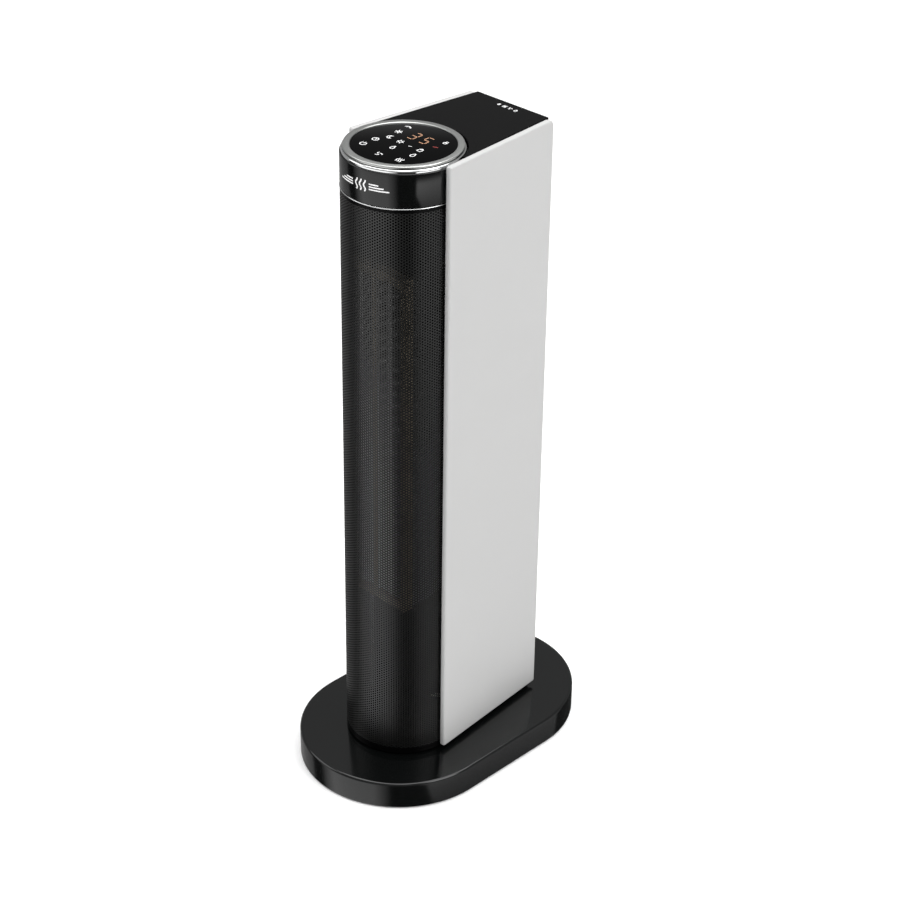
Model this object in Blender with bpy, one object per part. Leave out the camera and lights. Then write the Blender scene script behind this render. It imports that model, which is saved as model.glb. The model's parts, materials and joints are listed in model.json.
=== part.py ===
"""Ceramic tower heater: a white-sided tower that swings on a stadium-shaped base.

The frame stands on z = 0 with its origin under the middle of the base. The hot-air outlet faces -Y
and +X is the tower's right side. Every size below is in millimetres; meshes are made in metres.
"""
import math

import bmesh
import bpy
from mathutils import Matrix, Vector

MM = 0.001
ROUND_STEPS = 48

# Clearance between pieces that touch, and the play of pieces that slide or turn.
GAP = 0.3
PLAY = 0.5

# Base.
BASE_HALF_WIDTH = 92.0
BASE_HALF_LENGTH = 142.5
BASE_TOP = 27.0
FOOT_STAND = 1.2
FOOT_RADIUS = 9.0
FOOT_RECESS = 1.1
BASE_WALL = 2.6
BASE_ROOF = 3.0
BASE_EDGE_ROUND = 2.4
COVER_THICKNESS = 2.5
BOSS_RADIUS = 5.0
BOSS_INSET = 21.0
BOSS_ANGLE = math.radians(37)
BOSS_DEPTH_SHARE = 0.7
BALLAST_THICKNESS = 4.0
GLAND_RADIUS = 5.5
GLAND_BORE = 3.5
GLAND_LENGTH = 8.0

# Swivel between base and tower.
SWIVEL_OPENING = 30.0
GLIDE_WIDTH = 10.5
GLIDE_THICKNESS = 1.4
CABLE_BORE = 8.0
HUB_SCREW_CIRCLE = 18.0
HUB_SCREW_COUNT = 3
SECTOR_THICKNESS = 4.0
GEAR_MODULE = 1.5
SECTOR_TEETH = 48
SECTOR_TEETH_CUT = 15
PINION_TEETH = 16
PRESSURE_ANGLE = math.radians(20)
TOOTH_THINNING = 0.25
SWIVEL_MOTOR_RADIUS = 21.0
SWIVEL_MOTOR_HEIGHT = 10.5
PINION_SHAFT_RADIUS = 3.0

# Tip-over switch.
TIP_FORWARD = 100.0
TIP_TRAVEL = 4.0
TIP_ROD_RADIUS = 2.6
TIP_COLLAR_RADIUS = 4.8
TIP_COLLAR_HEIGHT = 1.5
TIP_HOUSING_SIZE = (22.0, 16.0)
TIP_SPRING_TURNS = 4
TIP_SPRING_WIRE = 0.45
TIP_SPRING_RADIUS = 3.6
TIP_SPRING_LENGTH = 8.4

# Tower shell.
TOWER_TOP = 600.0
COLUMN_RADIUS = 52.0
COLUMN_Y = -46.1
COLUMN_SIDE_GAP = 0.8
SIDE_TAPER = math.radians(5.28)
PANEL_THICKNESS = 5.6
PANEL_FRONT_Y = -52.3
PANEL_REAR_Y = 81.7
PANEL_LIFT = 2.6
PANEL_EDGE_ROUND = 1.8
PANEL_CORNER = 6.0
PANEL_RIM = 5.0
PANEL_RECESS = 3.4
PLINTH_THICKNESS = 5.8
CHASSIS_WALL = 2.2
CHASSIS_FRONT_Y = -33.2
REAR_COVER_INSET = 1.5
REAR_COVER_THICKNESS = 2.5
REAR_SCREW_INSET = 22.0
REAR_BOSS_RADIUS = 4.1
TOP_PLATE_THICKNESS = 3.0
TOP_HORN_Y = -28.2

# Control head and grille.
HEAD_HEIGHT = 29.4
HEAD_WALL = 2.5
HEAD_FLOOR = 2.4
BEZEL_HEIGHT = 5.0
BEZEL_FLANGE_STEP = 1.0
BEZEL_STEP = 1.5
BEZEL_WIDTH = 5.8
GLASS_THICKNESS = 2.4
TRIM_HEIGHT = 1.0
TRIM_STAND = 0.3
GRILLE_THICKNESS = 1.5
GRILLE_HALF_ANGLE = math.radians(100)
GRILLE_SLOTS = 16
GRILLE_ROWS = 2
GRILLE_BAR = 8.0
FOOT_RING_HEIGHT = 3.0
FOOT_RING_WIDTH = 6.9
BOARD_THICKNESS = 1.6
DISPLAY_SIZE = (36.0, 20.0, 5.0)
DISPLAY_PLACE = (8.5, 16.5)

# Air path: everything between the duct's floor and its ceiling.
DUCT_FLOOR_LIFT = 143.0
DUCT_CEILING_DROP = 63.0
DUCT_PLATE = 3.0
DUCT_WALL = 2.0
DUCT_REAR_Y = 70.5
IMPELLER_Y = 18.0
IMPELLER_RADIUS = 25.0
IMPELLER_BLADES = 14
IMPELLER_RING = 5.5
IMPELLER_DISC = 2.0
IMPELLER_DISCS = 4
IMPELLER_END_GAP = 6.0
SHAFT_RADIUS = 3.0
FAN_MOTOR_RADIUS = 26.0
FAN_MOTOR_HEIGHT = 52.0
BEARING_RADIUS = 6.7
HEATER_FRONT_Y = -80.2
HEATER_DEPTH = 10.0
HEATER_RIM = 4.0
HEATER_SIDE_GAP = 1.3
ELEMENT_COUNT = 2
ELEMENT_DEPTH = 7.0
ELEMENT_FINS = 14
ELEMENT_FIN_SHARE = 0.4
ELEMENT_RAIL_SHARE = 0.16
ELEMENT_CORE_SHARE = 0.1
CUTOFF_RADIUS = 8.0
CUTOFF_HEIGHT = 6.0

# Rear side: intake filter, rocker switch, mains board.
FILTER_HALF_WIDTH = 32.0
FILTER_RIM = 3.5
FILTER_SLATS = 14
FILTER_FRAME_DEPTH = 3.0
FILTER_SCREEN_DEPTH = 2.4
ROCKER_LIFT = 30.0
ROCKER_SIZE = (17.0, 12.4)
ROCKER_TILT = math.radians(8)
ROCKER_HOUSING_DEPTH = 16.0
ROCKER_FLANGE = 2.0
ROCKER_WALL = 1.5
MAINS_BOARD_SIZE = (56.0, 62.0)
MAINS_BOARD_Y = 52.0

# Screws.
SCREW_SHANK = 1.5
SCREW_HEAD = 3.1
SCREW_HEAD_HEIGHT = 1.6

# Heights and places that follow from the sizes above.
COVER_TOP = FOOT_STAND + COVER_THICKNESS
ROOF_UNDERSIDE = BASE_TOP - BASE_ROOF
SECTOR_RADIUS = GEAR_MODULE * SECTOR_TEETH / 2
PINION_RADIUS = GEAR_MODULE * PINION_TEETH / 2
PINION_Y = SECTOR_RADIUS + PINION_RADIUS
SECTOR_TOP = ROOF_UNDERSIDE - GAP
SECTOR_BOTTOM = SECTOR_TOP - SECTOR_THICKNESS
GLIDE_BOTTOM = BASE_TOP + GAP
GLIDE_TOP = GLIDE_BOTTOM + GLIDE_THICKNESS
PLINTH_BOTTOM = GLIDE_TOP + GAP
PLINTH_TOP = PLINTH_BOTTOM + PLINTH_THICKNESS
PANEL_BOTTOM = PLINTH_BOTTOM + PANEL_LIFT
HEAD_TOP = TOWER_TOP - TOP_PLATE_THICKNESS - GAP
HEAD_BOTTOM = HEAD_TOP - HEAD_HEIGHT
TRIM_TOP = HEAD_BOTTOM - GAP
TRIM_BOTTOM = TRIM_TOP - TRIM_HEIGHT
GRILLE_TOP = TRIM_BOTTOM - GAP
FOOT_RING_TOP = PLINTH_BOTTOM + FOOT_RING_HEIGHT
GRILLE_BOTTOM = FOOT_RING_TOP + GAP
DUCT_FLOOR = PLINTH_TOP + DUCT_FLOOR_LIFT
DUCT_BOTTOM = DUCT_FLOOR + DUCT_PLATE
DUCT_CEILING = GRILLE_TOP - DUCT_CEILING_DROP
REAR_COVER_Y = PANEL_REAR_Y - REAR_COVER_INSET
BEZEL_FLANGE_RADIUS = COLUMN_RADIUS - BEZEL_FLANGE_STEP
BEZEL_RADIUS = BEZEL_FLANGE_RADIUS - BEZEL_STEP
GLASS_RADIUS = BEZEL_RADIUS - BEZEL_WIDTH - GAP


# ---------------------------------------------------------------- outlines

def circle(radius, centre=(0.0, 0.0), points=32):
    """Points of a circle, counter-clockwise."""
    return arc(radius, 0.0, 2 * math.pi * (points - 1) / points, centre, points)


def arc(radius, start, end, centre=(0.0, 0.0), points=9):
    """Points of an arc from one angle to another, both ends included."""
    angles = [start + (end - start) * i / (points - 1) for i in range(points)]
    return [(centre[0] + radius * math.cos(a), centre[1] + radius * math.sin(a)) for a in angles]


def stadium(half_width, half_length, points=21):
    """Two half circles joined by straight sides along Y."""
    straight = half_length - half_width
    rear = arc(half_width, 0.0, math.pi, (0.0, straight), points)
    front = arc(half_width, math.pi, 2 * math.pi, (0.0, -straight), points)
    return rear + front


def rectangle(low, high):
    """Corners of a rectangle, counter-clockwise."""
    return [(low[0], low[1]), (high[0], low[1]), (high[0], high[1]), (low[0], high[1])]


def side_x(y, inset=0.0):
    """Half width of the space between the side panels at y, less an inset."""
    widest = COLUMN_RADIUS + COLUMN_SIDE_GAP
    return widest - (y - COLUMN_Y) * math.tan(SIDE_TAPER) - inset


def thick_line(line, thickness):
    """Outline of a wall of the given thickness along an open line of points."""
    points = [Vector(p) for p in line]
    left, right = [], []
    for i, point in enumerate(points):
        before = points[max(i - 1, 0)]
        after = points[min(i + 1, len(points) - 1)]
        along = (after - before).normalized()
        across = Vector((-along.y, along.x)) * thickness / 2
        left.append(tuple(point + across))
        right.append(tuple(point - across))
    return right + left[::-1]


def tooth_half_angle(radius, teeth):
    """Half the angle that one involute tooth spans at a radius."""
    pitch_radius = GEAR_MODULE * teeth / 2
    base_radius = pitch_radius * math.cos(PRESSURE_ANGLE)
    at_radius = math.acos(min(base_radius / radius, 1.0))
    rolled = math.tan(PRESSURE_ANGLE) - PRESSURE_ANGLE - math.tan(at_radius) + at_radius
    return math.pi / (2 * teeth) - TOOTH_THINNING / (2 * pitch_radius) + rolled


def gear_teeth(teeth, centres):
    """Outline points of involute teeth at the given centre angles, counter-clockwise."""
    pitch_radius = GEAR_MODULE * teeth / 2
    root = pitch_radius - 1.25 * GEAR_MODULE
    tip = pitch_radius + GEAR_MODULE
    base_radius = pitch_radius * math.cos(PRESSURE_ANGLE)
    start = max(root, base_radius)
    radii = [start + (tip - start) * i / 2 for i in range(3)]
    if root < base_radius:
        radii.insert(0, root)
    points = []
    for centre in centres:
        flank = [(r, tooth_half_angle(max(r, base_radius), teeth)) for r in radii]
        rising = [(r * math.cos(centre - half), r * math.sin(centre - half)) for r, half in flank]
        falling = [(r * math.cos(centre + half), r * math.sin(centre + half)) for r, half in flank[::-1]]
        points += rising + falling
    return points


# ---------------------------------------------------------------- meshes

def scaled(mesh):
    """Turn a millimetre bmesh into a metre one with its faces pointing out."""
    bmesh.ops.scale(mesh, vec=(MM, MM, MM), verts=mesh.verts)
    bmesh.ops.recalc_face_normals(mesh, faces=mesh.faces)
    return mesh


def extruded(outline, bottom, top, holes=()):
    """A flat outline with holes, drawn up from bottom to top."""
    mesh = bmesh.new()
    edges = []
    for loop in (outline, *holes):
        verts = [mesh.verts.new((x, y, bottom)) for x, y in loop]
        edges += [mesh.edges.new(pair) for pair in zip(verts, verts[1:] + verts[:1])]
    if holes:
        bmesh.ops.triangle_fill(mesh, use_beauty=True, edges=edges)
    else:
        mesh.faces.new(mesh.verts)
    raised = bmesh.ops.extrude_face_region(mesh, geom=mesh.faces[:], use_keep_orig=True)
    verts = [item for item in raised["geom"] if isinstance(item, bmesh.types.BMVert)]
    bmesh.ops.translate(mesh, verts=verts, vec=(0, 0, top - bottom))
    return scaled(mesh)


def turned(profile, steps=32):
    """A profile of (radius, height) points turned about Z; it may start and end on the axis."""
    mesh = bmesh.new()
    verts = [mesh.verts.new((r, 0, z)) for r, z in profile]
    edges = [mesh.edges.new(pair) for pair in zip(verts, verts[1:])]
    if profile[0][0] > 0:
        edges.append(mesh.edges.new((verts[-1], verts[0])))
    bmesh.ops.spin(mesh, geom=verts + edges, cent=(0, 0, 0), axis=(0, 0, 1),
                   angle=2 * math.pi, steps=steps, use_merge=True)
    bmesh.ops.remove_doubles(mesh, verts=mesh.verts, dist=0.001)
    return scaled(mesh)


def celled(edges, is_solid, place=lambda u, v, w: (u, v, w), closed_v=False):
    """A solid made of the cells of a grid for which is_solid(i, j, k) holds, bent by place."""
    mesh = bmesh.new()
    counts = [len(line) - 1 for line in edges]
    verts = {}

    def vert(i, j, k):
        j = j % counts[1] if closed_v else j
        if (i, j, k) not in verts:
            verts[i, j, k] = mesh.verts.new(place(edges[0][i], edges[1][j], edges[2][k]))
        return verts[i, j, k]

    def solid(cell):
        cell = (cell[0], cell[1] % counts[1], cell[2]) if closed_v else cell
        return all(0 <= cell[n] < counts[n] for n in range(3)) and is_solid(*cell)

    for i in range(counts[0]):
        for j in range(counts[1]):
            for k in range(counts[2]):
                if not solid((i, j, k)):
                    continue
                for axis in range(3):
                    for side in (0, 1):
                        beside = [i, j, k]
                        beside[axis] += 2 * side - 1
                        if solid(tuple(beside)):
                            continue
                        one, two = [n for n in range(3) if n != axis]
                        corners = []
                        for a, b in ((0, 0), (1, 0), (1, 1), (0, 1)):
                            corner = [i, j, k]
                            corner[axis] += side
                            corner[one] += a
                            corner[two] += b
                            corners.append(vert(*corner))
                        mesh.faces.new(corners)
    return scaled(mesh)


def helix(radius, wire, bottom, length, turns, sides=5, steps=10):
    """A round wire wound about Z, with closed ends."""
    mesh = bmesh.new()
    rings = []
    for i in range(turns * steps + 1):
        angle = 2 * math.pi * i / steps
        height = bottom + wire + (length - 2 * wire) * i / (turns * steps)
        ring = []
        for a in (2 * math.pi * side / sides for side in range(sides)):
            out = radius + wire * math.cos(a)
            spot = (out * math.cos(angle), out * math.sin(angle), height + wire * math.sin(a))
            ring.append(mesh.verts.new(spot))
        rings.append(ring)
    for ring, following in zip(rings, rings[1:]):
        for n in range(sides):
            mesh.faces.new((ring[n], ring[n - 1], following[n - 1], following[n]))
    mesh.faces.new(rings[0])
    mesh.faces.new(rings[-1])
    return scaled(mesh)


# ---------------------------------------------------------------- objects

def finish(name, colour, roughness, metallic=0.0):
    """A Principled material."""
    material = bpy.data.materials.new(name)
    material.use_nodes = True
    shader = material.node_tree.nodes["Principled BSDF"]
    shader.inputs["Base Color"].default_value = (*colour, 1.0)
    shader.inputs["Roughness"].default_value = roughness
    shader.inputs["Metallic"].default_value = metallic
    return material


def axis_empty(name, place, parent=None):
    """An empty on a joint's axis, which carries the pieces that move with it."""
    empty = bpy.data.objects.new(name, None)
    bpy.context.scene.collection.objects.link(empty)
    empty.parent = parent
    empty.location = Vector(place) * MM
    return empty


def piece(name, mesh, material, parent=None, place=(0, 0, 0), turn=None):
    """Make an object from a bmesh, shaded smooth with its edges kept sharp."""
    data = bpy.data.meshes.new(name)
    mesh.to_mesh(data)
    mesh.free()
    data.materials.append(material)
    return copy_of(data, name, parent, place, turn)


def copy_of(data, name, parent=None, place=(0, 0, 0), turn=None):
    """Make an object that shares a mesh."""
    data.shade_smooth()
    data.set_sharp_from_angle(angle=math.radians(35))
    item = bpy.data.objects.new(name, data)
    bpy.context.scene.collection.objects.link(item)
    item.parent = parent
    item.matrix_basis = Matrix.Translation(Vector(place) * MM) @ (turn or Matrix())
    return item


def cutter(name, meshes, parent=None, place=(0, 0, 0), turn=None):
    """A hidden body made of one or more separate meshes, for a Boolean."""
    data = bpy.data.meshes.new(name)
    joined = bmesh.new()
    for mesh in meshes:
        mesh.to_mesh(data)
        mesh.free()
        joined.from_mesh(data)
    joined.to_mesh(data)
    joined.free()
    item = copy_of(data, name, parent, place, turn)
    item.hide_render = True
    item.display_type = "WIRE"
    return item


def boolean(item, tool, operation="DIFFERENCE"):
    """Cut a tool from an item, or join it to the item."""
    modifier = item.modifiers.new(tool.name, "BOOLEAN")
    modifier.operation = operation
    modifier.object = tool


def rounded(item, width, segments=2):
    """Round every edge sharper than 40 degrees."""
    modifier = item.modifiers.new("round", "BEVEL")
    modifier.width = width * MM
    modifier.segments = segments
    modifier.limit_method = "ANGLE"
    modifier.angle_limit = math.radians(40)


def screw_mesh(length):
    """A screw that points up +Z from its head, whose outer face is at z = 0."""
    profile = [(0, 0), (SCREW_HEAD, 0), (SCREW_HEAD, SCREW_HEAD_HEIGHT), (SCREW_SHANK, SCREW_HEAD_HEIGHT),
               (SCREW_SHANK, length - SCREW_SHANK), (0, length)]
    return turned(profile, 10)


def screws(name, spots, length, material, parent=None, turn=None):
    """Identical screws, one object each, on one shared mesh."""
    first = piece(f"{name}_1", screw_mesh(length), material, parent, spots[0], turn)
    for number, spot in enumerate(spots[1:], 2):
        copy_of(first.data, f"{name}_{number}", parent, spot, turn)


# ---------------------------------------------------------------- base

def boss_spots():
    """Where the bottom cover's four screws go up into the shell."""
    reach = BASE_HALF_WIDTH - BOSS_INSET
    x = reach * math.cos(BOSS_ANGLE)
    y = BASE_HALF_LENGTH - BASE_HALF_WIDTH + reach * math.sin(BOSS_ANGLE)
    return [(sx * x, sy * y) for sx in (-1, 1) for sy in (-1, 1)]


def foot_spots():
    """Where the four rubber feet stand, at the ends of the straight sides."""
    x = BASE_HALF_WIDTH - BOSS_INSET
    y = BASE_HALF_LENGTH - BASE_HALF_WIDTH
    return [(sx * x, sy * y) for sx in (-1, 1) for sy in (-1, 1)]


def build_base(finishes):
    """The standing part: shell, cover, ballast, feet, gland, glide ring and drive motor."""
    black = finishes["black_gloss"]
    boss_length = ROOF_UNDERSIDE - COVER_TOP - GAP
    outline = stadium(BASE_HALF_WIDTH, BASE_HALF_LENGTH)
    shell = piece("base_shell", extruded(outline, FOOT_STAND, BASE_TOP), black)
    rounded(shell, BASE_EDGE_ROUND, 3)
    inside = stadium(BASE_HALF_WIDTH - BASE_WALL, BASE_HALF_LENGTH - BASE_WALL)
    hollow = [extruded(inside, -FOOT_STAND, ROOF_UNDERSIDE)]
    boolean(shell, cutter("base_hollow", hollow))
    bosses = [extruded(circle(BOSS_RADIUS, spot, 14), COVER_TOP + GAP, ROOF_UNDERSIDE + BASE_ROOF / 2)
              for spot in boss_spots()]
    boolean(shell, cutter("base_bosses", bosses), "UNION")
    holes = [extruded(circle(SCREW_SHANK + GAP, spot, 10), 0.0, COVER_TOP + GAP + boss_length * BOSS_DEPTH_SHARE)
             for spot in boss_spots()]
    holes.append(extruded(circle(SWIVEL_OPENING, points=40), ROOF_UNDERSIDE - 1, BASE_TOP + 1))
    boolean(shell, cutter("base_holes", holes))
    gland_z = (COVER_TOP + ROOF_UNDERSIDE) / 2
    along_y = Matrix.Rotation(math.radians(-90), 4, "X")
    gland_hole = [extruded(circle(GLAND_RADIUS + GAP, points=16), -2 * BASE_WALL, BASE_WALL)]
    boolean(shell, cutter("gland_hole", gland_hole, place=(0, BASE_HALF_LENGTH, gland_z), turn=along_y))

    flange = -BASE_WALL - GAP - PLAY
    gland = turned([(GLAND_BORE, -GLAND_LENGTH), (GLAND_RADIUS + 2, -GLAND_LENGTH), (GLAND_RADIUS + 2, flange),
                    (GLAND_RADIUS, flange), (GLAND_RADIUS, -GAP), (GLAND_BORE, -GAP)], 16)
    piece("cord_gland", gland, finishes["rubber"], place=(0, BASE_HALF_LENGTH, gland_z), turn=along_y)

    snug = BASE_WALL + GAP
    cover_outline = stadium(BASE_HALF_WIDTH - snug, BASE_HALF_LENGTH - snug)
    rod_hole = circle(TIP_ROD_RADIUS + PLAY, (0, -TIP_FORWARD), 12)
    cover = piece("bottom_cover", extruded(cover_outline, FOOT_STAND, COVER_TOP, [rod_hole]),
                  finishes["black_matte"])
    head_seat = FOOT_STAND + GAP + SCREW_HEAD_HEIGHT
    seats = [extruded(circle(SCREW_HEAD + GAP, spot, 12), 0.0, head_seat) for spot in boss_spots()]
    seats += [extruded(circle(FOOT_RADIUS + GAP, spot, 16), 0.0, FOOT_STAND + FOOT_RECESS)
              for spot in foot_spots()]
    boolean(cover, cutter("cover_seats", seats))
    shanks = [extruded(circle(SCREW_SHANK + GAP, spot, 10), 0.0, COVER_TOP + 1) for spot in boss_spots()]
    boolean(cover, cutter("cover_shank_holes", shanks))
    head_bottom = head_seat - GAP - SCREW_HEAD_HEIGHT
    screws("cover_screw", [(x, y, head_bottom) for x, y in boss_spots()], 13.0, finishes["steel"])

    foot_top = FOOT_STAND + FOOT_RECESS - GAP
    foot_profile = [(0, 0), (FOOT_RADIUS - 0.8, 0), (FOOT_RADIUS, 0.8), (FOOT_RADIUS, foot_top), (0, foot_top)]
    foot = piece("foot_1", turned(foot_profile, 16), finishes["rubber"], place=(*foot_spots()[0], 0))
    for number, spot in enumerate(foot_spots()[1:], 2):
        copy_of(foot.data, f"foot_{number}", place=(*spot, 0))

    tip_x, tip_y = (side / 2 + PLAY for side in TIP_HOUSING_SIZE)
    openings = [circle(BOSS_RADIUS + PLAY, spot, 12) for spot in boss_spots()]
    openings.append(circle(SWIVEL_MOTOR_RADIUS + PLAY, (0, PINION_Y), 24))
    openings.append(rectangle((-tip_x, -TIP_FORWARD - tip_y), (tip_x, -TIP_FORWARD + tip_y)))
    openings.append(circle(CABLE_BORE, points=16))
    inset = GLAND_LENGTH + 2
    ballast_outline = stadium(BASE_HALF_WIDTH - inset, BASE_HALF_LENGTH - inset)
    ballast_bottom = COVER_TOP + GAP
    ballast = extruded(ballast_outline, ballast_bottom, ballast_bottom + BALLAST_THICKNESS, openings)
    piece("ballast_plate", ballast, finishes["steel"])

    ring_inner = SWIVEL_OPENING + 1.5
    glide = extruded(circle(ring_inner + GLIDE_WIDTH, points=32), GLIDE_BOTTOM, GLIDE_TOP,
                     [circle(ring_inner, points=32)])
    piece("glide_ring", glide, finishes["white_nylon"])

    motor_bottom = COVER_TOP + GAP
    motor_top = motor_bottom + SWIVEL_MOTOR_HEIGHT
    bore = PINION_SHAFT_RADIUS + GAP
    motor = turned([(0, motor_bottom), (SWIVEL_MOTOR_RADIUS, motor_bottom), (SWIVEL_MOTOR_RADIUS, motor_top),
                    (bore, motor_top), (bore, motor_bottom + 3), (0, motor_bottom + 3)], 24)
    piece("oscillation_motor", motor, finishes["steel"], place=(0, PINION_Y, 0))


def build_tip_switch(finishes):
    """The switch that cuts the power when the base leaves the floor."""
    collar_bottom = COVER_TOP + GAP + TIP_TRAVEL
    collar_top = collar_bottom + TIP_COLLAR_HEIGHT
    spring_bottom = collar_top + GAP
    bore_top = spring_bottom + TIP_SPRING_LENGTH + GAP
    width, depth = TIP_HOUSING_SIZE
    housing_bottom = COVER_TOP + GAP
    housing = extruded(rectangle((-width / 2, -depth / 2), (width / 2, depth / 2)), housing_bottom, bore_top + 1)
    housing = piece("tip_switch_housing", housing, finishes["black_matte"], place=(0, -TIP_FORWARD, 0))
    bore = [extruded(circle(TIP_COLLAR_RADIUS + PLAY, points=20), 0.0, bore_top)]
    boolean(housing, cutter("tip_switch_bore", bore, place=(0, -TIP_FORWARD, 0)))
    axis = axis_empty("tip_plunger_axis", (0, -TIP_FORWARD, 0))
    rod = [(0, 0), (TIP_ROD_RADIUS - 1, 0), (TIP_ROD_RADIUS, 1), (TIP_ROD_RADIUS, collar_bottom),
           (TIP_COLLAR_RADIUS, collar_bottom), (TIP_COLLAR_RADIUS, collar_top), (0, collar_top)]
    piece("tip_plunger", turned(rod, 16), finishes["white_nylon"], axis)
    spring = helix(TIP_SPRING_RADIUS, TIP_SPRING_WIRE, spring_bottom, TIP_SPRING_LENGTH, TIP_SPRING_TURNS)
    piece("tip_spring", spring, finishes["steel"], place=(0, -TIP_FORWARD, 0))


# ---------------------------------------------------------------- swivel

def hub_screw_spots():
    """The screws that join sector, hub and plinth, on a circle about the swivel axis."""
    return arc(HUB_SCREW_CIRCLE, math.radians(-90), math.radians(-90 + 240), points=HUB_SCREW_COUNT)


def build_swivel(finishes, tower):
    """Hub, toothed sector and screws under the tower, and the pinion that drives them."""
    holes = [circle(CABLE_BORE, points=16)]
    holes += [circle(SCREW_SHANK + GAP, spot, 10) for spot in hub_screw_spots()]
    hub = extruded(circle(SWIVEL_OPENING - PLAY, points=40), ROOF_UNDERSIDE, PLINTH_BOTTOM - GAP, holes)
    piece("swivel_hub", hub, finishes["white_nylon"], tower)

    pitch = 2 * math.pi / SECTOR_TEETH
    half = (SECTOR_TEETH_CUT - 1) / 2
    centres = [math.pi / 2 + (n - half) * pitch for n in range(SECTOR_TEETH_CUT)]
    plain = SECTOR_RADIUS - 2 * GEAR_MODULE
    teeth = gear_teeth(SECTOR_TEETH, centres)
    rest = arc(plain, centres[-1] + pitch, centres[0] - pitch + 2 * math.pi, points=24)
    sector = extruded(teeth + rest, SECTOR_BOTTOM, SECTOR_TOP, holes)
    piece("drive_sector", sector, finishes["white_nylon"], tower)
    head = SECTOR_BOTTOM - GAP - SCREW_HEAD_HEIGHT
    screws("hub_screw", [(x, y, head) for x, y in hub_screw_spots()], PLINTH_TOP - 1 - head,
           finishes["steel"], tower)

    axis = axis_empty("pinion_axis", (0, PINION_Y, 0))
    step = 2 * math.pi / PINION_TEETH
    centres = [-math.pi / 2 + (n + 0.5) * step for n in range(PINION_TEETH)]
    wheel = extruded(gear_teeth(PINION_TEETH, centres), SECTOR_BOTTOM, SECTOR_TOP)
    wheel = piece("oscillation_pinion", wheel, finishes["white_nylon"], axis)
    shaft_bottom = COVER_TOP + GAP + 3 + GAP
    shaft = [extruded(circle(PINION_SHAFT_RADIUS, points=16), shaft_bottom, SECTOR_TOP - 1)]
    boolean(wheel, cutter("pinion_shaft", shaft, axis), "UNION")


# ---------------------------------------------------------------- tower shell

def plan_outline(inset, rear_y, front_radius):
    """Tower plan inside the side panels: a wedge to the rear and part of a circle in front."""
    meet = math.asin((CHASSIS_FRONT_Y - COLUMN_Y) / front_radius)
    front = arc(front_radius, math.pi - meet, 2 * math.pi + meet, (0, COLUMN_Y), 25)
    wedge = [(side_x(CHASSIS_FRONT_Y, inset), CHASSIS_FRONT_Y), (side_x(rear_y, inset), rear_y)]
    return front + wedge + [(-x, y) for x, y in wedge[::-1]]


def panel_frame(side):
    """Matrix of a side panel: local X along the panel, local Y up, local Z out of the tower."""
    out = Vector((side * math.cos(SIDE_TAPER), math.sin(SIDE_TAPER), 0))
    up = Vector((0, 0, 1))
    along = up.cross(out)
    turn = Matrix((along, up, out)).transposed().to_4x4()
    place = (side * side_x(COLUMN_Y), COLUMN_Y, 0)
    return place, turn


def panel_outline(side, inset):
    """Side view of a panel in its own frame, with a round top rear corner."""
    scale = 1 / math.cos(SIDE_TAPER)
    front = (PANEL_FRONT_Y - COLUMN_Y) * scale + inset
    rear = (PANEL_REAR_Y - COLUMN_Y) * scale - inset
    low, high = PANEL_BOTTOM + inset, TOWER_TOP - inset
    corner = max(PANEL_CORNER - inset, 1.0)
    small = corner / 3
    points = arc(small, math.pi, 1.5 * math.pi, (front + small, low + small), 4)
    points += arc(small, 1.5 * math.pi, 2 * math.pi, (rear - small, low + small), 4)
    points += arc(corner, 0, math.pi / 2, (rear - corner, high - corner), 6)
    points += arc(small, math.pi / 2, math.pi, (front + small, high - small), 4)
    return [(side * x, y) for x, y in points]


def build_panels(finishes, tower):
    """The two white side panels: thick rounded edges round a thin skin, hollow on the inside."""
    for name, side in (("right", 1), ("left", -1)):
        place, turn = panel_frame(side)
        outer = extruded(panel_outline(side, 0.0), 0.0, PANEL_THICKNESS)
        panel = piece(f"side_panel_{name}", outer, finishes["white_panel"], tower, place, turn)
        rounded(panel, PANEL_EDGE_ROUND, 3)
        recess = [extruded(panel_outline(side, PANEL_RIM), -1.0, PANEL_RECESS)]
        boolean(panel, cutter(f"panel_recess_{name}", recess, tower, place, turn))


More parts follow.
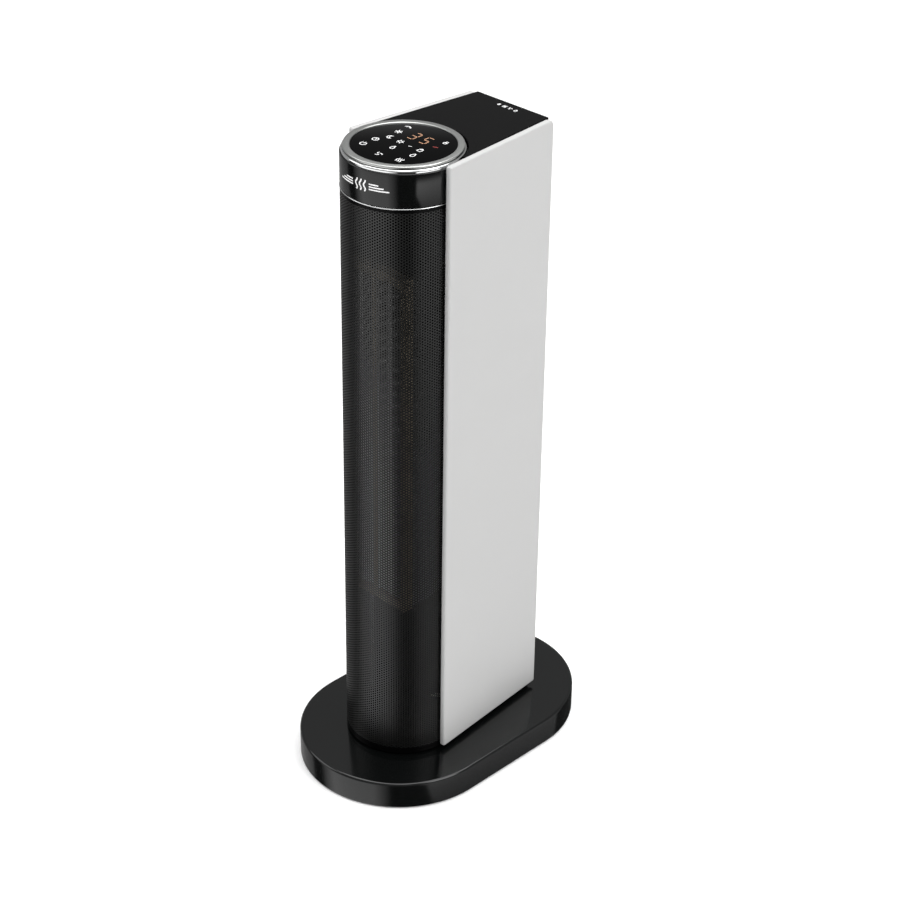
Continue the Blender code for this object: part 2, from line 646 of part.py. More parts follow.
def build_shell(finishes, tower):
    """Plinth, chassis walls, top plate and rear cover."""
    holes = [circle(CABLE_BORE, points=16)]
    holes += [circle(SCREW_SHANK + GAP, spot, 10) for spot in hub_screw_spots()]
    inside_ring = COLUMN_RADIUS - FOOT_RING_WIDTH - GAP
    chassis_rear = REAR_COVER_Y - REAR_COVER_THICKNESS - GAP
    plinth = extruded(plan_outline(GAP, chassis_rear, inside_ring), PLINTH_BOTTOM, PLINTH_TOP, holes)
    piece("tower_plinth", plinth, finishes["black_matte"], tower)

    behind_head = COLUMN_Y + COLUMN_RADIUS + PLAY
    scale = 1 / math.cos(SIDE_TAPER)
    for name, side in (("right", 1), ("left", -1)):
        place, turn = panel_frame(side)
        front, step, rear = ((y - COLUMN_Y) * scale for y in (CHASSIS_FRONT_Y, behind_head, chassis_rear - 1))
        outline = [(front, PLINTH_TOP + GAP), (rear, PLINTH_TOP + GAP), (rear, HEAD_TOP), (step, HEAD_TOP),
                   (step, GRILLE_TOP), (front, GRILLE_TOP)]
        wall = extruded([(side * x, y) for x, y in outline], -GAP - CHASSIS_WALL, -GAP)
        wall = piece(f"chassis_wall_{name}", wall, finishes["black_matte"], tower, place, turn)
        along_y = Matrix.Rotation(math.radians(90), 4, "X")
        spots = [spot for spot in rear_screw_spots() if spot[0] * side > 0]
        bosses = [extruded(circle(REAR_BOSS_RADIUS, spot, 16), 0.0, 12.0) for spot in spots]
        boolean(wall, cutter(f"rear_bosses_{name}", bosses, tower, (0, chassis_rear, 0), along_y), "UNION")
        pilots = [extruded(circle(SCREW_SHANK + GAP, spot, 10), -1.0, 11.0) for spot in spots]
        boolean(wall, cutter(f"rear_pilots_{name}", pilots, tower, (0, chassis_rear, 0), along_y))

    clear = COLUMN_RADIUS + GAP
    meet = math.asin((TOP_HORN_Y - COLUMN_Y) / clear)
    hollow = arc(clear, math.pi - meet, meet, (0, COLUMN_Y), 25)
    edge = PANEL_REAR_Y - GAP
    corners = [(side_x(TOP_HORN_Y, GAP), TOP_HORN_Y), (side_x(edge, GAP), edge)]
    outline = hollow + corners + [(-x, y) for x, y in corners[::-1]]
    plate = extruded(outline, TOWER_TOP - TOP_PLATE_THICKNESS, TOWER_TOP)
    piece("top_plate", plate, finishes["black_satin"], tower)

    half = side_x(REAR_COVER_Y, GAP)
    low, high = PANEL_BOTTOM, HEAD_TOP
    window = rectangle((-FILTER_HALF_WIDTH - PLAY, filter_span()[0] - PLAY),
                       (FILTER_HALF_WIDTH + PLAY, filter_span()[1] + PLAY))
    switch = rectangle(*rocker_box(GAP))
    holes = [window, switch] + [circle(SCREW_SHANK + GAP, spot, 10) for spot in rear_screw_spots()]
    cover = extruded(rectangle((-half, low), (half, high)), 0.0, REAR_COVER_THICKNESS, holes)
    upright = Matrix.Rotation(math.radians(90), 4, "X")
    piece("rear_cover", cover, finishes["black_matte"], tower, (0, REAR_COVER_Y, 0), upright)
    head = REAR_COVER_Y + GAP + SCREW_HEAD_HEIGHT
    screws("rear_screw", [(x, head, z) for x, z in rear_screw_spots()], 12.0, finishes["black_steel"],
           tower, upright)


def rear_screw_spots():
    """The rear cover's four screws, as (x, z)."""
    x = side_x(REAR_COVER_Y, GAP + CHASSIS_WALL / 4 + REAR_BOSS_RADIUS)
    return [(side * x, z) for side in (1, -1)
            for z in (PLINTH_TOP + REAR_SCREW_INSET, HEAD_TOP - REAR_SCREW_INSET)]


# ---------------------------------------------------------------- head and grille

def build_head(finishes, tower):
    """Glossy control head, chrome bezel, touch glass, boards and the trim under the band."""
    centre = (0, COLUMN_Y, 0)
    edge = 0.6
    inner = COLUMN_RADIUS - HEAD_WALL
    floor = HEAD_BOTTOM + HEAD_FLOOR
    cup = turned([(0, HEAD_BOTTOM), (COLUMN_RADIUS - edge, HEAD_BOTTOM), (COLUMN_RADIUS, HEAD_BOTTOM + edge),
                  (COLUMN_RADIUS, HEAD_TOP - edge), (COLUMN_RADIUS - edge, HEAD_TOP), (inner, HEAD_TOP),
                  (inner, floor), (0, floor)], ROUND_STEPS)
    piece("control_head", cup, finishes["black_gloss"], tower, centre)

    low = HEAD_TOP + GAP
    high = low + BEZEL_HEIGHT
    seat = high - GLASS_THICKNESS - GAP - PLAY
    flange = low + BEZEL_HEIGHT * 0.5
    ring = turned([(GLASS_RADIUS - 2, low), (BEZEL_FLANGE_RADIUS, low), (BEZEL_FLANGE_RADIUS, flange - edge),
                   (BEZEL_FLANGE_RADIUS - edge, flange), (BEZEL_RADIUS - edge, flange),
                   (BEZEL_RADIUS, flange + edge), (BEZEL_RADIUS, high - edge), (BEZEL_RADIUS - edge, high),
                   (GLASS_RADIUS + GAP, high),
                   (GLASS_RADIUS + GAP, seat), (GLASS_RADIUS - 2, seat)], ROUND_STEPS)
    piece("bezel_ring", ring, finishes["chrome"], tower, centre)
    glass_low = seat + GAP
    glass_top = glass_low + GLASS_THICKNESS
    glass = turned([(0, glass_low), (GLASS_RADIUS, glass_low), (GLASS_RADIUS, glass_top - edge),
                    (GLASS_RADIUS - edge, glass_top), (0, glass_top)], ROUND_STEPS)
    piece("touch_glass", glass, finishes["black_glass"], tower, centre)

    board_top = low - GAP - DISPLAY_SIZE[2] - GAP
    board = turned([(0, board_top - BOARD_THICKNESS), (inner - 4, board_top - BOARD_THICKNESS),
                    (inner - 4, board_top), (0, board_top)], 32)
    piece("control_board", board, finishes["board"], tower, centre)
    width, depth, height = DISPLAY_SIZE
    x, y = DISPLAY_PLACE
    display = extruded(rectangle((x - width / 2, y - depth / 2), (x + width / 2, y + depth / 2)),
                       board_top + GAP, board_top + GAP + height)
    piece("display_module", display, finishes["black_matte"], tower, centre)

    outer = COLUMN_RADIUS + TRIM_STAND
    trim = turned([(outer - 3, TRIM_BOTTOM), (outer, TRIM_BOTTOM), (outer, TRIM_TOP), (outer - 3, TRIM_TOP)],
                  ROUND_STEPS)
    piece("trim_ring", trim, finishes["chrome"], tower, centre)


def build_grille(finishes, tower):
    """Front grille of tall slots, and the foot ring it stands on."""
    columns = 2 * GRILLE_SLOTS + 1
    angles = [GRILLE_HALF_ANGLE * (2 * i / columns - 1) for i in range(columns + 1)]
    rows = [GRILLE_BOTTOM]
    slot = (GRILLE_TOP - GRILLE_BOTTOM - (GRILLE_ROWS + 1) * GRILLE_BAR) / GRILLE_ROWS
    for _ in range(GRILLE_ROWS):
        rows += [rows[-1] + GRILLE_BAR, rows[-1] + GRILLE_BAR + slot]
    rows.append(GRILLE_TOP)
    radii = [COLUMN_RADIUS - GRILLE_THICKNESS, COLUMN_RADIUS]

    def bend(radius, angle, height):
        return radius * math.sin(angle), COLUMN_Y - radius * math.cos(angle), height

    grille = celled((radii, angles, rows), lambda i, j, k: j % 2 == 0 or k % 2 == 0, bend)
    piece("front_grille", grille, finishes["black_satin"], tower)

    start = -math.pi / 2 - GRILLE_HALF_ANGLE
    end = -math.pi / 2 + GRILLE_HALF_ANGLE
    ring = arc(COLUMN_RADIUS, start, end, (0, COLUMN_Y), 25)
    ring += arc(COLUMN_RADIUS - FOOT_RING_WIDTH, end, start, (0, COLUMN_Y), 25)
    piece("foot_ring", extruded(ring, PLINTH_BOTTOM, FOOT_RING_TOP), finishes["black_satin"], tower)


# ---------------------------------------------------------------- heater

def heater_half_width():
    """Half width of the heater frame, which fits inside the grille at its front face."""
    inner = COLUMN_RADIUS - GRILLE_THICKNESS
    return math.sqrt(inner ** 2 - (HEATER_FRONT_Y - COLUMN_Y) ** 2) - HEATER_SIDE_GAP


def build_heater(finishes, tower):
    """Heater frame with two ceramic elements between their fins, and the thermal cut-out."""
    half = heater_half_width()
    low, high = DUCT_BOTTOM + 2 * GAP, DUCT_CEILING - GAP
    rear = HEATER_FRONT_Y + HEATER_DEPTH
    bay = (2 * half - (ELEMENT_COUNT + 1) * HEATER_RIM) / ELEMENT_COUNT
    across = [-half]
    for _ in range(ELEMENT_COUNT):
        across += [across[-1] + HEATER_RIM, across[-1] + HEATER_RIM + bay]
    across.append(half)
    heights = [low, low + HEATER_RIM * 2, high - HEATER_RIM * 2, high]
    frame = celled((across, [HEATER_FRONT_Y, rear], heights), lambda i, j, k: i % 2 == 0 or k != 1)
    piece("heater_frame", frame, finishes["mica"], tower)

    width = bay - 2 * GAP
    bottom, top = heights[1] + GAP, heights[2] - GAP
    edge = width * ELEMENT_RAIL_SHARE
    core = width * ELEMENT_CORE_SHARE
    across = [-width / 2, -width / 2 + edge, -core, core, width / 2 - edge, width / 2]
    pitch = (top - bottom) / (ELEMENT_FINS + ELEMENT_FIN_SHARE)
    fins = [bottom]
    for _ in range(ELEMENT_FINS):
        fins += [fins[-1] + pitch * ELEMENT_FIN_SHARE, fins[-1] + pitch]
    fins.append(top)
    depth = [-ELEMENT_DEPTH / 2, ELEMENT_DEPTH / 2]
    element = celled((across, depth, fins), lambda i, j, k: i % 2 == 0 or k % 2 == 0)
    data = None
    for number in range(ELEMENT_COUNT):
        place = (-half + HEATER_RIM + bay / 2 + number * (bay + HEATER_RIM), HEATER_FRONT_Y + HEATER_DEPTH / 2, 0)
        name = f"ceramic_element_{number + 1}"
        if data is None:
            data = piece(name, element, finishes["aluminium"], tower, place).data
        else:
            copy_of(data, name, tower, place)

    disc = turned([(0, 0), (CUTOFF_RADIUS, 0), (CUTOFF_RADIUS, CUTOFF_HEIGHT), (0, CUTOFF_HEIGHT)], 20)
    facing = Matrix.Rotation(math.radians(90), 4, "X")
    spot = (0, rear + GAP + CUTOFF_HEIGHT, high - CUTOFF_RADIUS - GAP)
    piece("thermal_cutoff", disc, finishes["brass"], tower, spot, facing)


# ---------------------------------------------------------------- fan and duct

def duct_plan(inset):
    """Plan of the duct's floor and ceiling, between the chassis walls and behind the heater."""
    front = HEATER_FRONT_Y + HEATER_DEPTH + GAP
    wall = GAP + CHASSIS_WALL + GAP + inset
    neck = CHASSIS_FRONT_Y - 2
    right = [(heater_half_width(), front), (side_x(neck, wall + 4), neck), (side_x(CHASSIS_FRONT_Y, wall),
             CHASSIS_FRONT_Y), (side_x(DUCT_REAR_Y, wall), DUCT_REAR_Y)]
    return right + [(-x, y) for x, y in right[::-1]]


def build_duct(finishes, tower):
    """Floor, ceiling, scroll and tongue round the impeller."""
    shaft_hole = circle(SHAFT_RADIUS + 2, (0, IMPELLER_Y), 20)
    bearing_hole = circle(BEARING_RADIUS + GAP, (0, IMPELLER_Y), 24)
    floor = extruded(duct_plan(0), DUCT_FLOOR, DUCT_BOTTOM, [shaft_hole])
    piece("duct_floor", floor, finishes["black_matte"], tower)
    ceiling = extruded(duct_plan(0), DUCT_CEILING, DUCT_CEILING + DUCT_PLATE, [bearing_hole])
    piece("duct_ceiling", ceiling, finishes["black_matte"], tower)

    low, high = DUCT_BOTTOM + GAP, DUCT_CEILING - GAP
    front = HEATER_FRONT_Y + HEATER_DEPTH + 2 * GAP
    mouth = heater_half_width() - DUCT_WALL
    rear = DUCT_REAR_Y - DUCT_WALL
    centre = (0, IMPELLER_Y)
    scroll = [(-IMPELLER_RADIUS - 4, rear)]
    steps = 10
    for n in range(steps + 1):
        angle = math.radians(145 + 65 * n / steps)
        reach = IMPELLER_RADIUS + 3 + 7 * n / steps
        scroll.append((centre[0] + reach * math.cos(angle), centre[1] + reach * math.sin(angle)))
    scroll.append((-mouth, front))
    piece("duct_scroll", extruded(thick_line(scroll, DUCT_WALL), low, high), finishes["galvanised"], tower)

    tongue = [(IMPELLER_RADIUS + 4, rear)]
    tongue += arc(IMPELLER_RADIUS + 3.5, math.radians(50), math.radians(-15), centre, 7)
    tongue.append((mouth, front))
    piece("duct_tongue", extruded(thick_line(tongue, DUCT_WALL), low, high), finishes["galvanised"], tower)


def build_fan(finishes, tower):
    """Motor under the duct floor, and the cross-flow impeller with its shaft and upper bearing."""
    bore = SHAFT_RADIUS + GAP
    motor_top = DUCT_FLOOR - GAP
    motor_bottom = motor_top - FAN_MOTOR_HEIGHT
    bore_bottom = motor_top - FAN_MOTOR_HEIGHT * 0.6
    motor = turned([(0, motor_bottom), (FAN_MOTOR_RADIUS - 2, motor_bottom), (FAN_MOTOR_RADIUS, motor_bottom + 2),
                    (FAN_MOTOR_RADIUS, motor_top - 2), (FAN_MOTOR_RADIUS - 2, motor_top), (bore, motor_top),
                    (bore, bore_bottom), (0, bore_bottom)], 28)
    piece("fan_motor", motor, finishes["steel"], tower, (0, IMPELLER_Y, 0))

    bearing_top = DUCT_CEILING + DUCT_PLATE + GAP
    bearing = turned([(bore, DUCT_CEILING), (BEARING_RADIUS, DUCT_CEILING), (BEARING_RADIUS, bearing_top),
                      (BEARING_RADIUS + 3, bearing_top), (BEARING_RADIUS + 3, bearing_top + 2),
                      (bore, bearing_top + 2)], 24)
    piece("upper_bearing", bearing, finishes["brass"], tower, (0, IMPELLER_Y, 0))

    axis = axis_empty("impeller_axis", (0, IMPELLER_Y, 0), tower)
    shaft_top = bearing_top + 1
    shaft = turned([(0, bore_bottom + GAP), (SHAFT_RADIUS, bore_bottom + GAP), (SHAFT_RADIUS, shaft_top),
                    (0, shaft_top)], 16)
    piece("impeller_shaft", shaft, finishes["steel"], axis)

    low, high = DUCT_BOTTOM + IMPELLER_END_GAP, DUCT_CEILING - IMPELLER_END_GAP
    span = (high - low - IMPELLER_DISC) / (IMPELLER_DISCS - 1)
    rows = []
    for n in range(IMPELLER_DISCS):
        rows += [low + n * span, low + n * span + IMPELLER_DISC]
    step = 2 * math.pi / IMPELLER_BLADES
    angles = []
    for n in range(IMPELLER_BLADES):
        angles += [n * step, n * step + 0.25 * step]
    radii = [bore, IMPELLER_RADIUS - IMPELLER_RING, IMPELLER_RADIUS]

    def sweep(radius, angle, height):
        lean = 0.25 * (radius - radii[1]) / IMPELLER_RING if radius > radii[1] else 0.0
        return radius * math.cos(angle + lean), radius * math.sin(angle + lean), height

    wheel = celled((radii, angles + [2 * math.pi], rows),
                   lambda i, j, k: k % 2 == 0 or (i == 1 and j % 2 == 0), sweep, closed_v=True)
    piece("impeller", wheel, finishes["aluminium"], axis)


# ---------------------------------------------------------------- rear and electrics

def filter_span():
    """Lowest and highest z of the intake filter."""
    return DUCT_BOTTOM + 12, DUCT_CEILING - 12


def rocker_centre():
    """The middle of the power switch, as (x, z)."""
    return 0.0, PLINTH_TOP + ROCKER_LIFT


def rocker_box(margin):
    """Corners of the rocker housing's body with a margin, as (x, z)."""
    x, z = rocker_centre()
    half_x, half_z = (size / 2 + PLAY + ROCKER_WALL + margin for size in ROCKER_SIZE)
    return (x - half_x, z - half_z), (x + half_x, z + half_z)


def build_rear(finishes, tower):
    """Pull-off intake filter, rocker switch and mains board."""
    low, high = filter_span()
    axis = axis_empty("filter_axis", (0, REAR_COVER_Y, 0), tower)
    inner = FILTER_HALF_WIDTH - FILTER_RIM
    across = [-FILTER_HALF_WIDTH, -inner, -FILTER_RIM / 2, FILTER_RIM / 2, inner, FILTER_HALF_WIDTH]
    pitch = (high - low - FILTER_RIM) / FILTER_SLATS
    heights = []
    for n in range(FILTER_SLATS + 1):
        heights += [low + n * pitch, low + n * pitch + FILTER_RIM]
    frame = celled((across, [-FILTER_FRAME_DEPTH, 0.0], heights), lambda i, j, k: i % 2 == 0 or k % 2 == 0)
    piece("filter_frame", frame, finishes["black_matte"], axis)
    back = -FILTER_FRAME_DEPTH - GAP
    screen = celled(([-inner, inner], [back - FILTER_SCREEN_DEPTH, back], [low + FILTER_RIM, high - FILTER_RIM]),
                    lambda i, j, k: True)
    piece("filter_screen", screen, finishes["filter_net"], axis)

    (left, bottom), (right, top) = rocker_box(0.0)
    rim = ROCKER_FLANGE
    wall = ROCKER_WALL
    across = [left - rim, left, left + wall, right - wall, right, right + rim]
    heights = [bottom - rim, bottom, bottom + wall, top - wall, top, top + rim]
    outer = REAR_COVER_Y + GAP
    depth = [outer - ROCKER_HOUSING_DEPTH, outer - ROCKER_HOUSING_DEPTH + wall, outer, outer + 1.0]

    def housing_cell(i, j, k):
        if j == 2:
            return i != 2 or k != 2
        if i in (0, 4) or k in (0, 4):
            return False
        return j == 0 or i != 2 or k != 2

    housing = celled((across, depth, heights), housing_cell)
    piece("rocker_housing", housing, finishes["black_matte"], tower)
    x, z = rocker_centre()
    axis = axis_empty("rocker_axis", (x, outer - 2.0, z), tower)
    half_z = ROCKER_SIZE[1] / 2
    profile = [(1.6, 0.0), (3.4, half_z - 0.4), (2.4, half_z), (-2.0, half_z - 0.8)]
    profile += arc(5.0, math.radians(130), math.radians(230), points=5)
    profile += [(-2.0, -half_z + 0.8), (2.4, -half_z), (3.4, -half_z + 0.4)]
    half_x = ROCKER_SIZE[0] / 2
    rocker = extruded(profile, -half_x, half_x)
    stand = Matrix(((0, 0, 1, 0), (1, 0, 0, 0), (0, 1, 0, 0), (0, 0, 0, 1)))
    tilt = Matrix.Rotation(-ROCKER_TILT, 4, "X")
    piece("power_rocker", rocker, finishes["black_satin"], axis, turn=tilt @ stand)

    width, height = MAINS_BOARD_SIZE
    board_low = PLINTH_TOP + REAR_SCREW_INSET
    board = extruded(rectangle((-width / 2, board_low), (width / 2, board_low + height)), 0.0, BOARD_THICKNESS)
    upright = Matrix.Rotation(math.radians(90), 4, "X")
    piece("power_board", board, finishes["board"], tower, (0, MAINS_BOARD_Y, 0), upright)


def main():
    """Clear the scene and build the heater."""
    for item in list(bpy.data.objects):
        bpy.data.objects.remove(item, do_unlink=True)
    finishes = {
        "black_gloss": finish("black_gloss", (0.012, 0.012, 0.013), 0.12),
        "black_satin": finish("black_satin", (0.016, 0.016, 0.017), 0.35),
        "black_matte": finish("black_matte", (0.022, 0.022, 0.022), 0.6),
        "white_panel": finish("white_panel", (0.62, 0.62, 0.61), 0.38),
        "chrome": finish("chrome", (0.75, 0.76, 0.76), 0.12, 1.0),
        "black_glass": finish("black_glass", (0.006, 0.006, 0.007), 0.05),
        "rubber": finish("rubber", (0.02, 0.02, 0.02), 0.85),
        "steel": finish("steel", (0.5, 0.5, 0.5), 0.35, 1.0),
        "black_steel": finish("black_steel", (0.04, 0.04, 0.04), 0.4, 1.0),
        "galvanised": finish("galvanised", (0.55, 0.56, 0.57), 0.45, 1.0),
        "aluminium": finish("aluminium", (0.7, 0.7, 0.7), 0.4, 1.0),
        "brass": finish("brass", (0.7, 0.5, 0.2), 0.35, 1.0),
        "mica": finish("mica", (0.35, 0.3, 0.24), 0.6),
        "white_nylon": finish("white_nylon", (0.75, 0.74, 0.7), 0.5),
        "board": finish("board", (0.02, 0.12, 0.05), 0.5),
        "filter_net": finish("filter_net", (0.05, 0.05, 0.05), 0.9),
    }
    tower = axis_empty("tower_axis", (0, 0, 0))
    build_base(finishes)
    build_tip_switch(finishes)
    build_swivel(finishes, tower)
    build_shell(finishes, tower)
    build_panels(finishes, tower)
    build_head(finishes, tower)
    build_grille(finishes, tower)
    build_heater(finishes, tower)
    build_duct(finishes, tower)
    build_fan(finishes, tower)
    build_rear(finishes, tower)


main()
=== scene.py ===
"""Looks of a ceramic tower heater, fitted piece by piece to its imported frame.

The tower stands on z = 0 and blows its warm air towards -Y. Every size is in metres.
"""
from __future__ import annotations

import json
import logging
import math
from dataclasses import dataclass, field
from enum import Enum
from typing import Callable, Iterable, Sequence

import bmesh
import bpy
from mathutils import Matrix, Vector

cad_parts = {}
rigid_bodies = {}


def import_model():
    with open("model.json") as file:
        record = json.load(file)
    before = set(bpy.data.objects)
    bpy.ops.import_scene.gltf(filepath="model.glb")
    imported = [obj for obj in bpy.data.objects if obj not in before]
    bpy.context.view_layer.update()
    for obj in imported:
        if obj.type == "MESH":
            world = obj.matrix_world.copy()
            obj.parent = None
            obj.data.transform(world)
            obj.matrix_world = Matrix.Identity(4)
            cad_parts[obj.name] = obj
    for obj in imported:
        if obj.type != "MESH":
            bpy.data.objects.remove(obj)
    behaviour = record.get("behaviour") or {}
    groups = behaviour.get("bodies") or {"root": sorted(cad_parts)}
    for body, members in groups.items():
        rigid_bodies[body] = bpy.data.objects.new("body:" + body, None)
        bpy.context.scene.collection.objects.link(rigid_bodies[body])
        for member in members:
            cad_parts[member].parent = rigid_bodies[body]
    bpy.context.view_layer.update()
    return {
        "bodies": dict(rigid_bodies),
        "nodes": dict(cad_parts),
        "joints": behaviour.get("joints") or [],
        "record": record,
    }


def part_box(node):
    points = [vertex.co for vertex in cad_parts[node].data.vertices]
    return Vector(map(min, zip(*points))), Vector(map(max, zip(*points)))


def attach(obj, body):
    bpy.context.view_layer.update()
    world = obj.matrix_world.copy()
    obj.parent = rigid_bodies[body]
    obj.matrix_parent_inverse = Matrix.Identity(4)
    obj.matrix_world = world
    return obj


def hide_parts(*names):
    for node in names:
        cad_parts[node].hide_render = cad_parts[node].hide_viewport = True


LOG = logging.getLogger("tower_heater")
Point = tuple[float, float]
Spot = tuple[float, float, float]
Colour = tuple[float, float, float]
MM = 0.001
ROUND = 160
SKIN = 0.00004
SHARP = math.radians(32)


# ---------------------------------------------------------------- node wrappers

def arithmetic(operation: str, swapped: bool = False) -> Callable:
    """A method that adds a Math node, with the other value first if swapped."""

    def apply(self: Signal, other: Signal | float) -> Signal:
        values = (other, self) if swapped else (self, other)
        return self.graph.math(operation, *values)

    return apply


class Signal:
    """A number or vector that a socket carries; arithmetic on it adds Math nodes."""

    __add__ = arithmetic("ADD")
    __radd__ = arithmetic("ADD", swapped=True)
    __sub__ = arithmetic("SUBTRACT")
    __rsub__ = arithmetic("SUBTRACT", swapped=True)
    __mul__ = arithmetic("MULTIPLY")
    __rmul__ = arithmetic("MULTIPLY", swapped=True)
    __truediv__ = arithmetic("DIVIDE")
    __mod__ = arithmetic("MODULO")
    __pow__ = arithmetic("POWER")

    def __init__(self, graph: Graph, socket: bpy.types.NodeSocket) -> None:
        """Wrap a socket of a graph."""
        self.graph = graph
        self.socket = socket


class Graph:
    """A node tree that is filled by short calls."""

    def __init__(self, tree: bpy.types.NodeTree) -> None:
        """Wrap a tree."""
        self.tree = tree

    def node(self, kind: str, settings: dict | None = None, inputs: dict | None = None) -> bpy.types.Node:
        """Add a node, set its properties, then fill its sockets.

        The inputs go by socket name or number, and each is a value, a Signal or a socket.
        """
        made = self.tree.nodes.new(kind)
        for name, value in (settings or {}).items():
            setattr(made, name, value)
        for name, value in (inputs or {}).items():
            self.feed(made.inputs[name], value)
        return made

    def feed(self, socket: bpy.types.NodeSocket, value: object) -> None:
        """Link a signal or a socket to a socket, or set the socket's own value."""
        if isinstance(value, (Signal, bpy.types.NodeSocket)):
            self.tree.links.new(value.socket if isinstance(value, Signal) else value, socket)
        else:
            socket.default_value = value

    def math(self, operation: str, *values: Signal | float) -> Signal:
        """Add a Math node and return its result."""
        made = self.node("ShaderNodeMath", {"operation": operation}, dict(enumerate(values)))
        return Signal(self, made.outputs[0])

    def split(self, vector: Signal) -> tuple[Signal, Signal, Signal]:
        """The three parts of a vector."""
        made = self.node("ShaderNodeSeparateXYZ", inputs={0: vector})
        return tuple(Signal(self, made.outputs[n]) for n in range(3))

    def join(self, x: Signal | float, y: Signal | float, z: Signal | float) -> Signal:
        """A vector of three parts."""
        made = self.node("ShaderNodeCombineXYZ", inputs={0: x, 1: y, 2: z})
        return Signal(self, made.outputs[0])


class Shading(Graph):
    """A Principled material whose pattern comes from object coordinates."""

    def __init__(self, name: str) -> None:
        """Make the material and its shader."""
        self.material = bpy.data.materials.new(name)
        self.material.use_nodes = True
        super().__init__(self.material.node_tree)
        self.shader = self.tree.nodes["Principled BSDF"]

    def place(self) -> Signal:
        """Object coordinates."""
        made = self.node("ShaderNodeTexCoord")
        return Signal(self, made.outputs["Object"])

    def noise(self, vector: Signal, scale: float, detail: float = 2.0, rough: float = 0.5) -> Signal:
        """Noise from 0 to 1, with so many features to a metre, finer layers and their strength."""
        made = self.node("ShaderNodeTexNoise", {"noise_dimensions": "3D"},
                         {"Vector": vector, "Scale": scale, "Detail": detail, "Roughness": rough})
        return Signal(self, made.outputs["Fac"])

    def blend(self, mask: Signal, dark: Colour, light: Colour) -> Signal:
        """A colour between two, by a mask."""
        made = self.node("ShaderNodeMix", {"data_type": "RGBA"},
                         {0: mask, 6: (*dark, 1.0), 7: (*light, 1.0)})
        return Signal(self, made.outputs[2])

    def bump(self, height: Signal, depth: float) -> None:
        """Raise the surface by a height pattern of the given depth in metres."""
        made = self.node("ShaderNodeBump", inputs={"Height": height, "Strength": 1.0, "Distance": depth})
        self.tree.links.new(made.outputs["Normal"], self.shader.inputs["Normal"])

    def set(self, **values: object) -> None:
        """Fill the shader's sockets; an underscore stands for a space."""
        for name, value in values.items():
            self.feed(self.shader.inputs[name.replace("_", " ")], value)


# ---------------------------------------------------------------- finishes

class Brush(Enum):
    """How a metal was finished."""

    NONE = "none"
    ROUND = "round"
    UPRIGHT = "upright"


@dataclass(frozen=True)
class Plastic:
    """A moulded plastic: gloss, satin or spark-textured."""

    name: str
    slot: str
    colour: Colour
    roughness: float
    grain: float
    depth: float
    mottle: float = 0.06
    specular: float = 0.5
    coat: float = 0.0

    def make(self) -> bpy.types.Material:
        """Build the material, with a fine grain and a faint cloudiness in its colour and gloss."""
        art = Shading(self.name)
        place = art.place()
        cloud = art.noise(place, 18.0, 3.0)
        speck = art.noise(place, 1.0 / self.grain, 3.0, 0.6)
        dark = tuple(part * (1.0 - self.mottle) for part in self.colour)
        light = tuple(min(part * (1.0 + self.mottle), 1.0) for part in self.colour)
        art.set(Base_Color=art.blend(cloud * 0.5 + speck * 0.5, dark, light))
        art.set(Roughness=self.roughness * (0.9 + 0.12 * cloud + 0.08 * speck))
        art.shader.inputs["Specular IOR Level"].default_value = self.specular
        art.shader.inputs["Coat Weight"].default_value = self.coat
        art.shader.inputs["Coat Roughness"].default_value = 0.04
        art.bump(speck, self.depth)
        return art.material


@dataclass(frozen=True)
class Metal:
    """A bare or plated metal, polished, brushed or cast."""

    name: str
    slot: str
    colour: Colour
    roughness: float
    brush: Brush = Brush.NONE
    depth: float = 0.000004
    centre: Point = (0.0, 0.0)

    def make(self) -> bpy.types.Material:
        """Build the material, with brush lines or a fine grain."""
        art = Shading(self.name)
        x, y, z = art.split(art.place())
        if self.brush is Brush.ROUND:
            across, along = x - self.centre[0], y - self.centre[1]
            reach = (across * across + along * along) ** 0.5
            turn = art.math("ARCTAN2", along, across)
            grain = art.noise(art.join(reach * 6000.0, turn * 3.0, z * 6000.0), 1.0, 2.0)
        elif self.brush is Brush.UPRIGHT:
            grain = art.noise(art.join(x * 3000.0, y * 3000.0, z * 40.0), 1.0, 2.0)
        else:
            grain = art.noise(art.join(x, y, z), 900.0, 3.0)
        cloud = art.noise(art.join(x, y, z), 30.0, 2.0)
        dark = tuple(part * 0.86 for part in self.colour)
        art.set(Base_Color=art.blend(grain * 0.6 + cloud * 0.4, dark, self.colour))
        art.set(Roughness=self.roughness * (0.8 + 0.3 * grain + 0.1 * cloud))
        art.shader.inputs["Metallic"].default_value = 1.0
        art.bump(grain, self.depth)
        return art.material


@dataclass(frozen=True)
class Printed:
    """Ink or a lit segment: a colour that also glows; on ink the glow is painted light."""

    name: str
    slot: str
    colour: Colour
    glow: float

    def make(self) -> bpy.types.Material:
        """Build the material, slightly uneven as a silk-screen is."""
        art = Shading(self.name)
        speck = art.noise(art.place(), 2500.0, 2.0)
        dark = tuple(part * 0.85 for part in self.colour)
        ink = art.blend(speck, dark, self.colour)
        art.set(Base_Color=ink, Emission_Color=ink, Roughness=0.35 + 0.1 * speck)
        # On the white ink this emission is a painted highlight; on the amber segments and the red lamp it is
        # their own light.
        art.shader.inputs["Emission Strength"].default_value = self.glow
        return art.material


@dataclass(frozen=True)
class Net:
    """A fine woven net: two crossing sets of threads."""

    name: str
    slot: str
    colour: Colour
    pitch: float

    def make(self) -> bpy.types.Material:
        """Build the material, with its threads as height and colour."""
        art = Shading(self.name)
        x, _, z = art.split(art.place())
        warp = art.math("SINE", x * (2 * math.pi / self.pitch))
        weft = art.math("SINE", z * (2 * math.pi / self.pitch))
        thread = art.math("MAXIMUM", warp, weft)
        dark = tuple(part * 0.25 for part in self.colour)
        art.set(Base_Color=art.blend(thread, dark, self.colour), Roughness=0.85 + 0.1 * thread)
        art.bump(thread, self.pitch * 0.2)
        return art.material


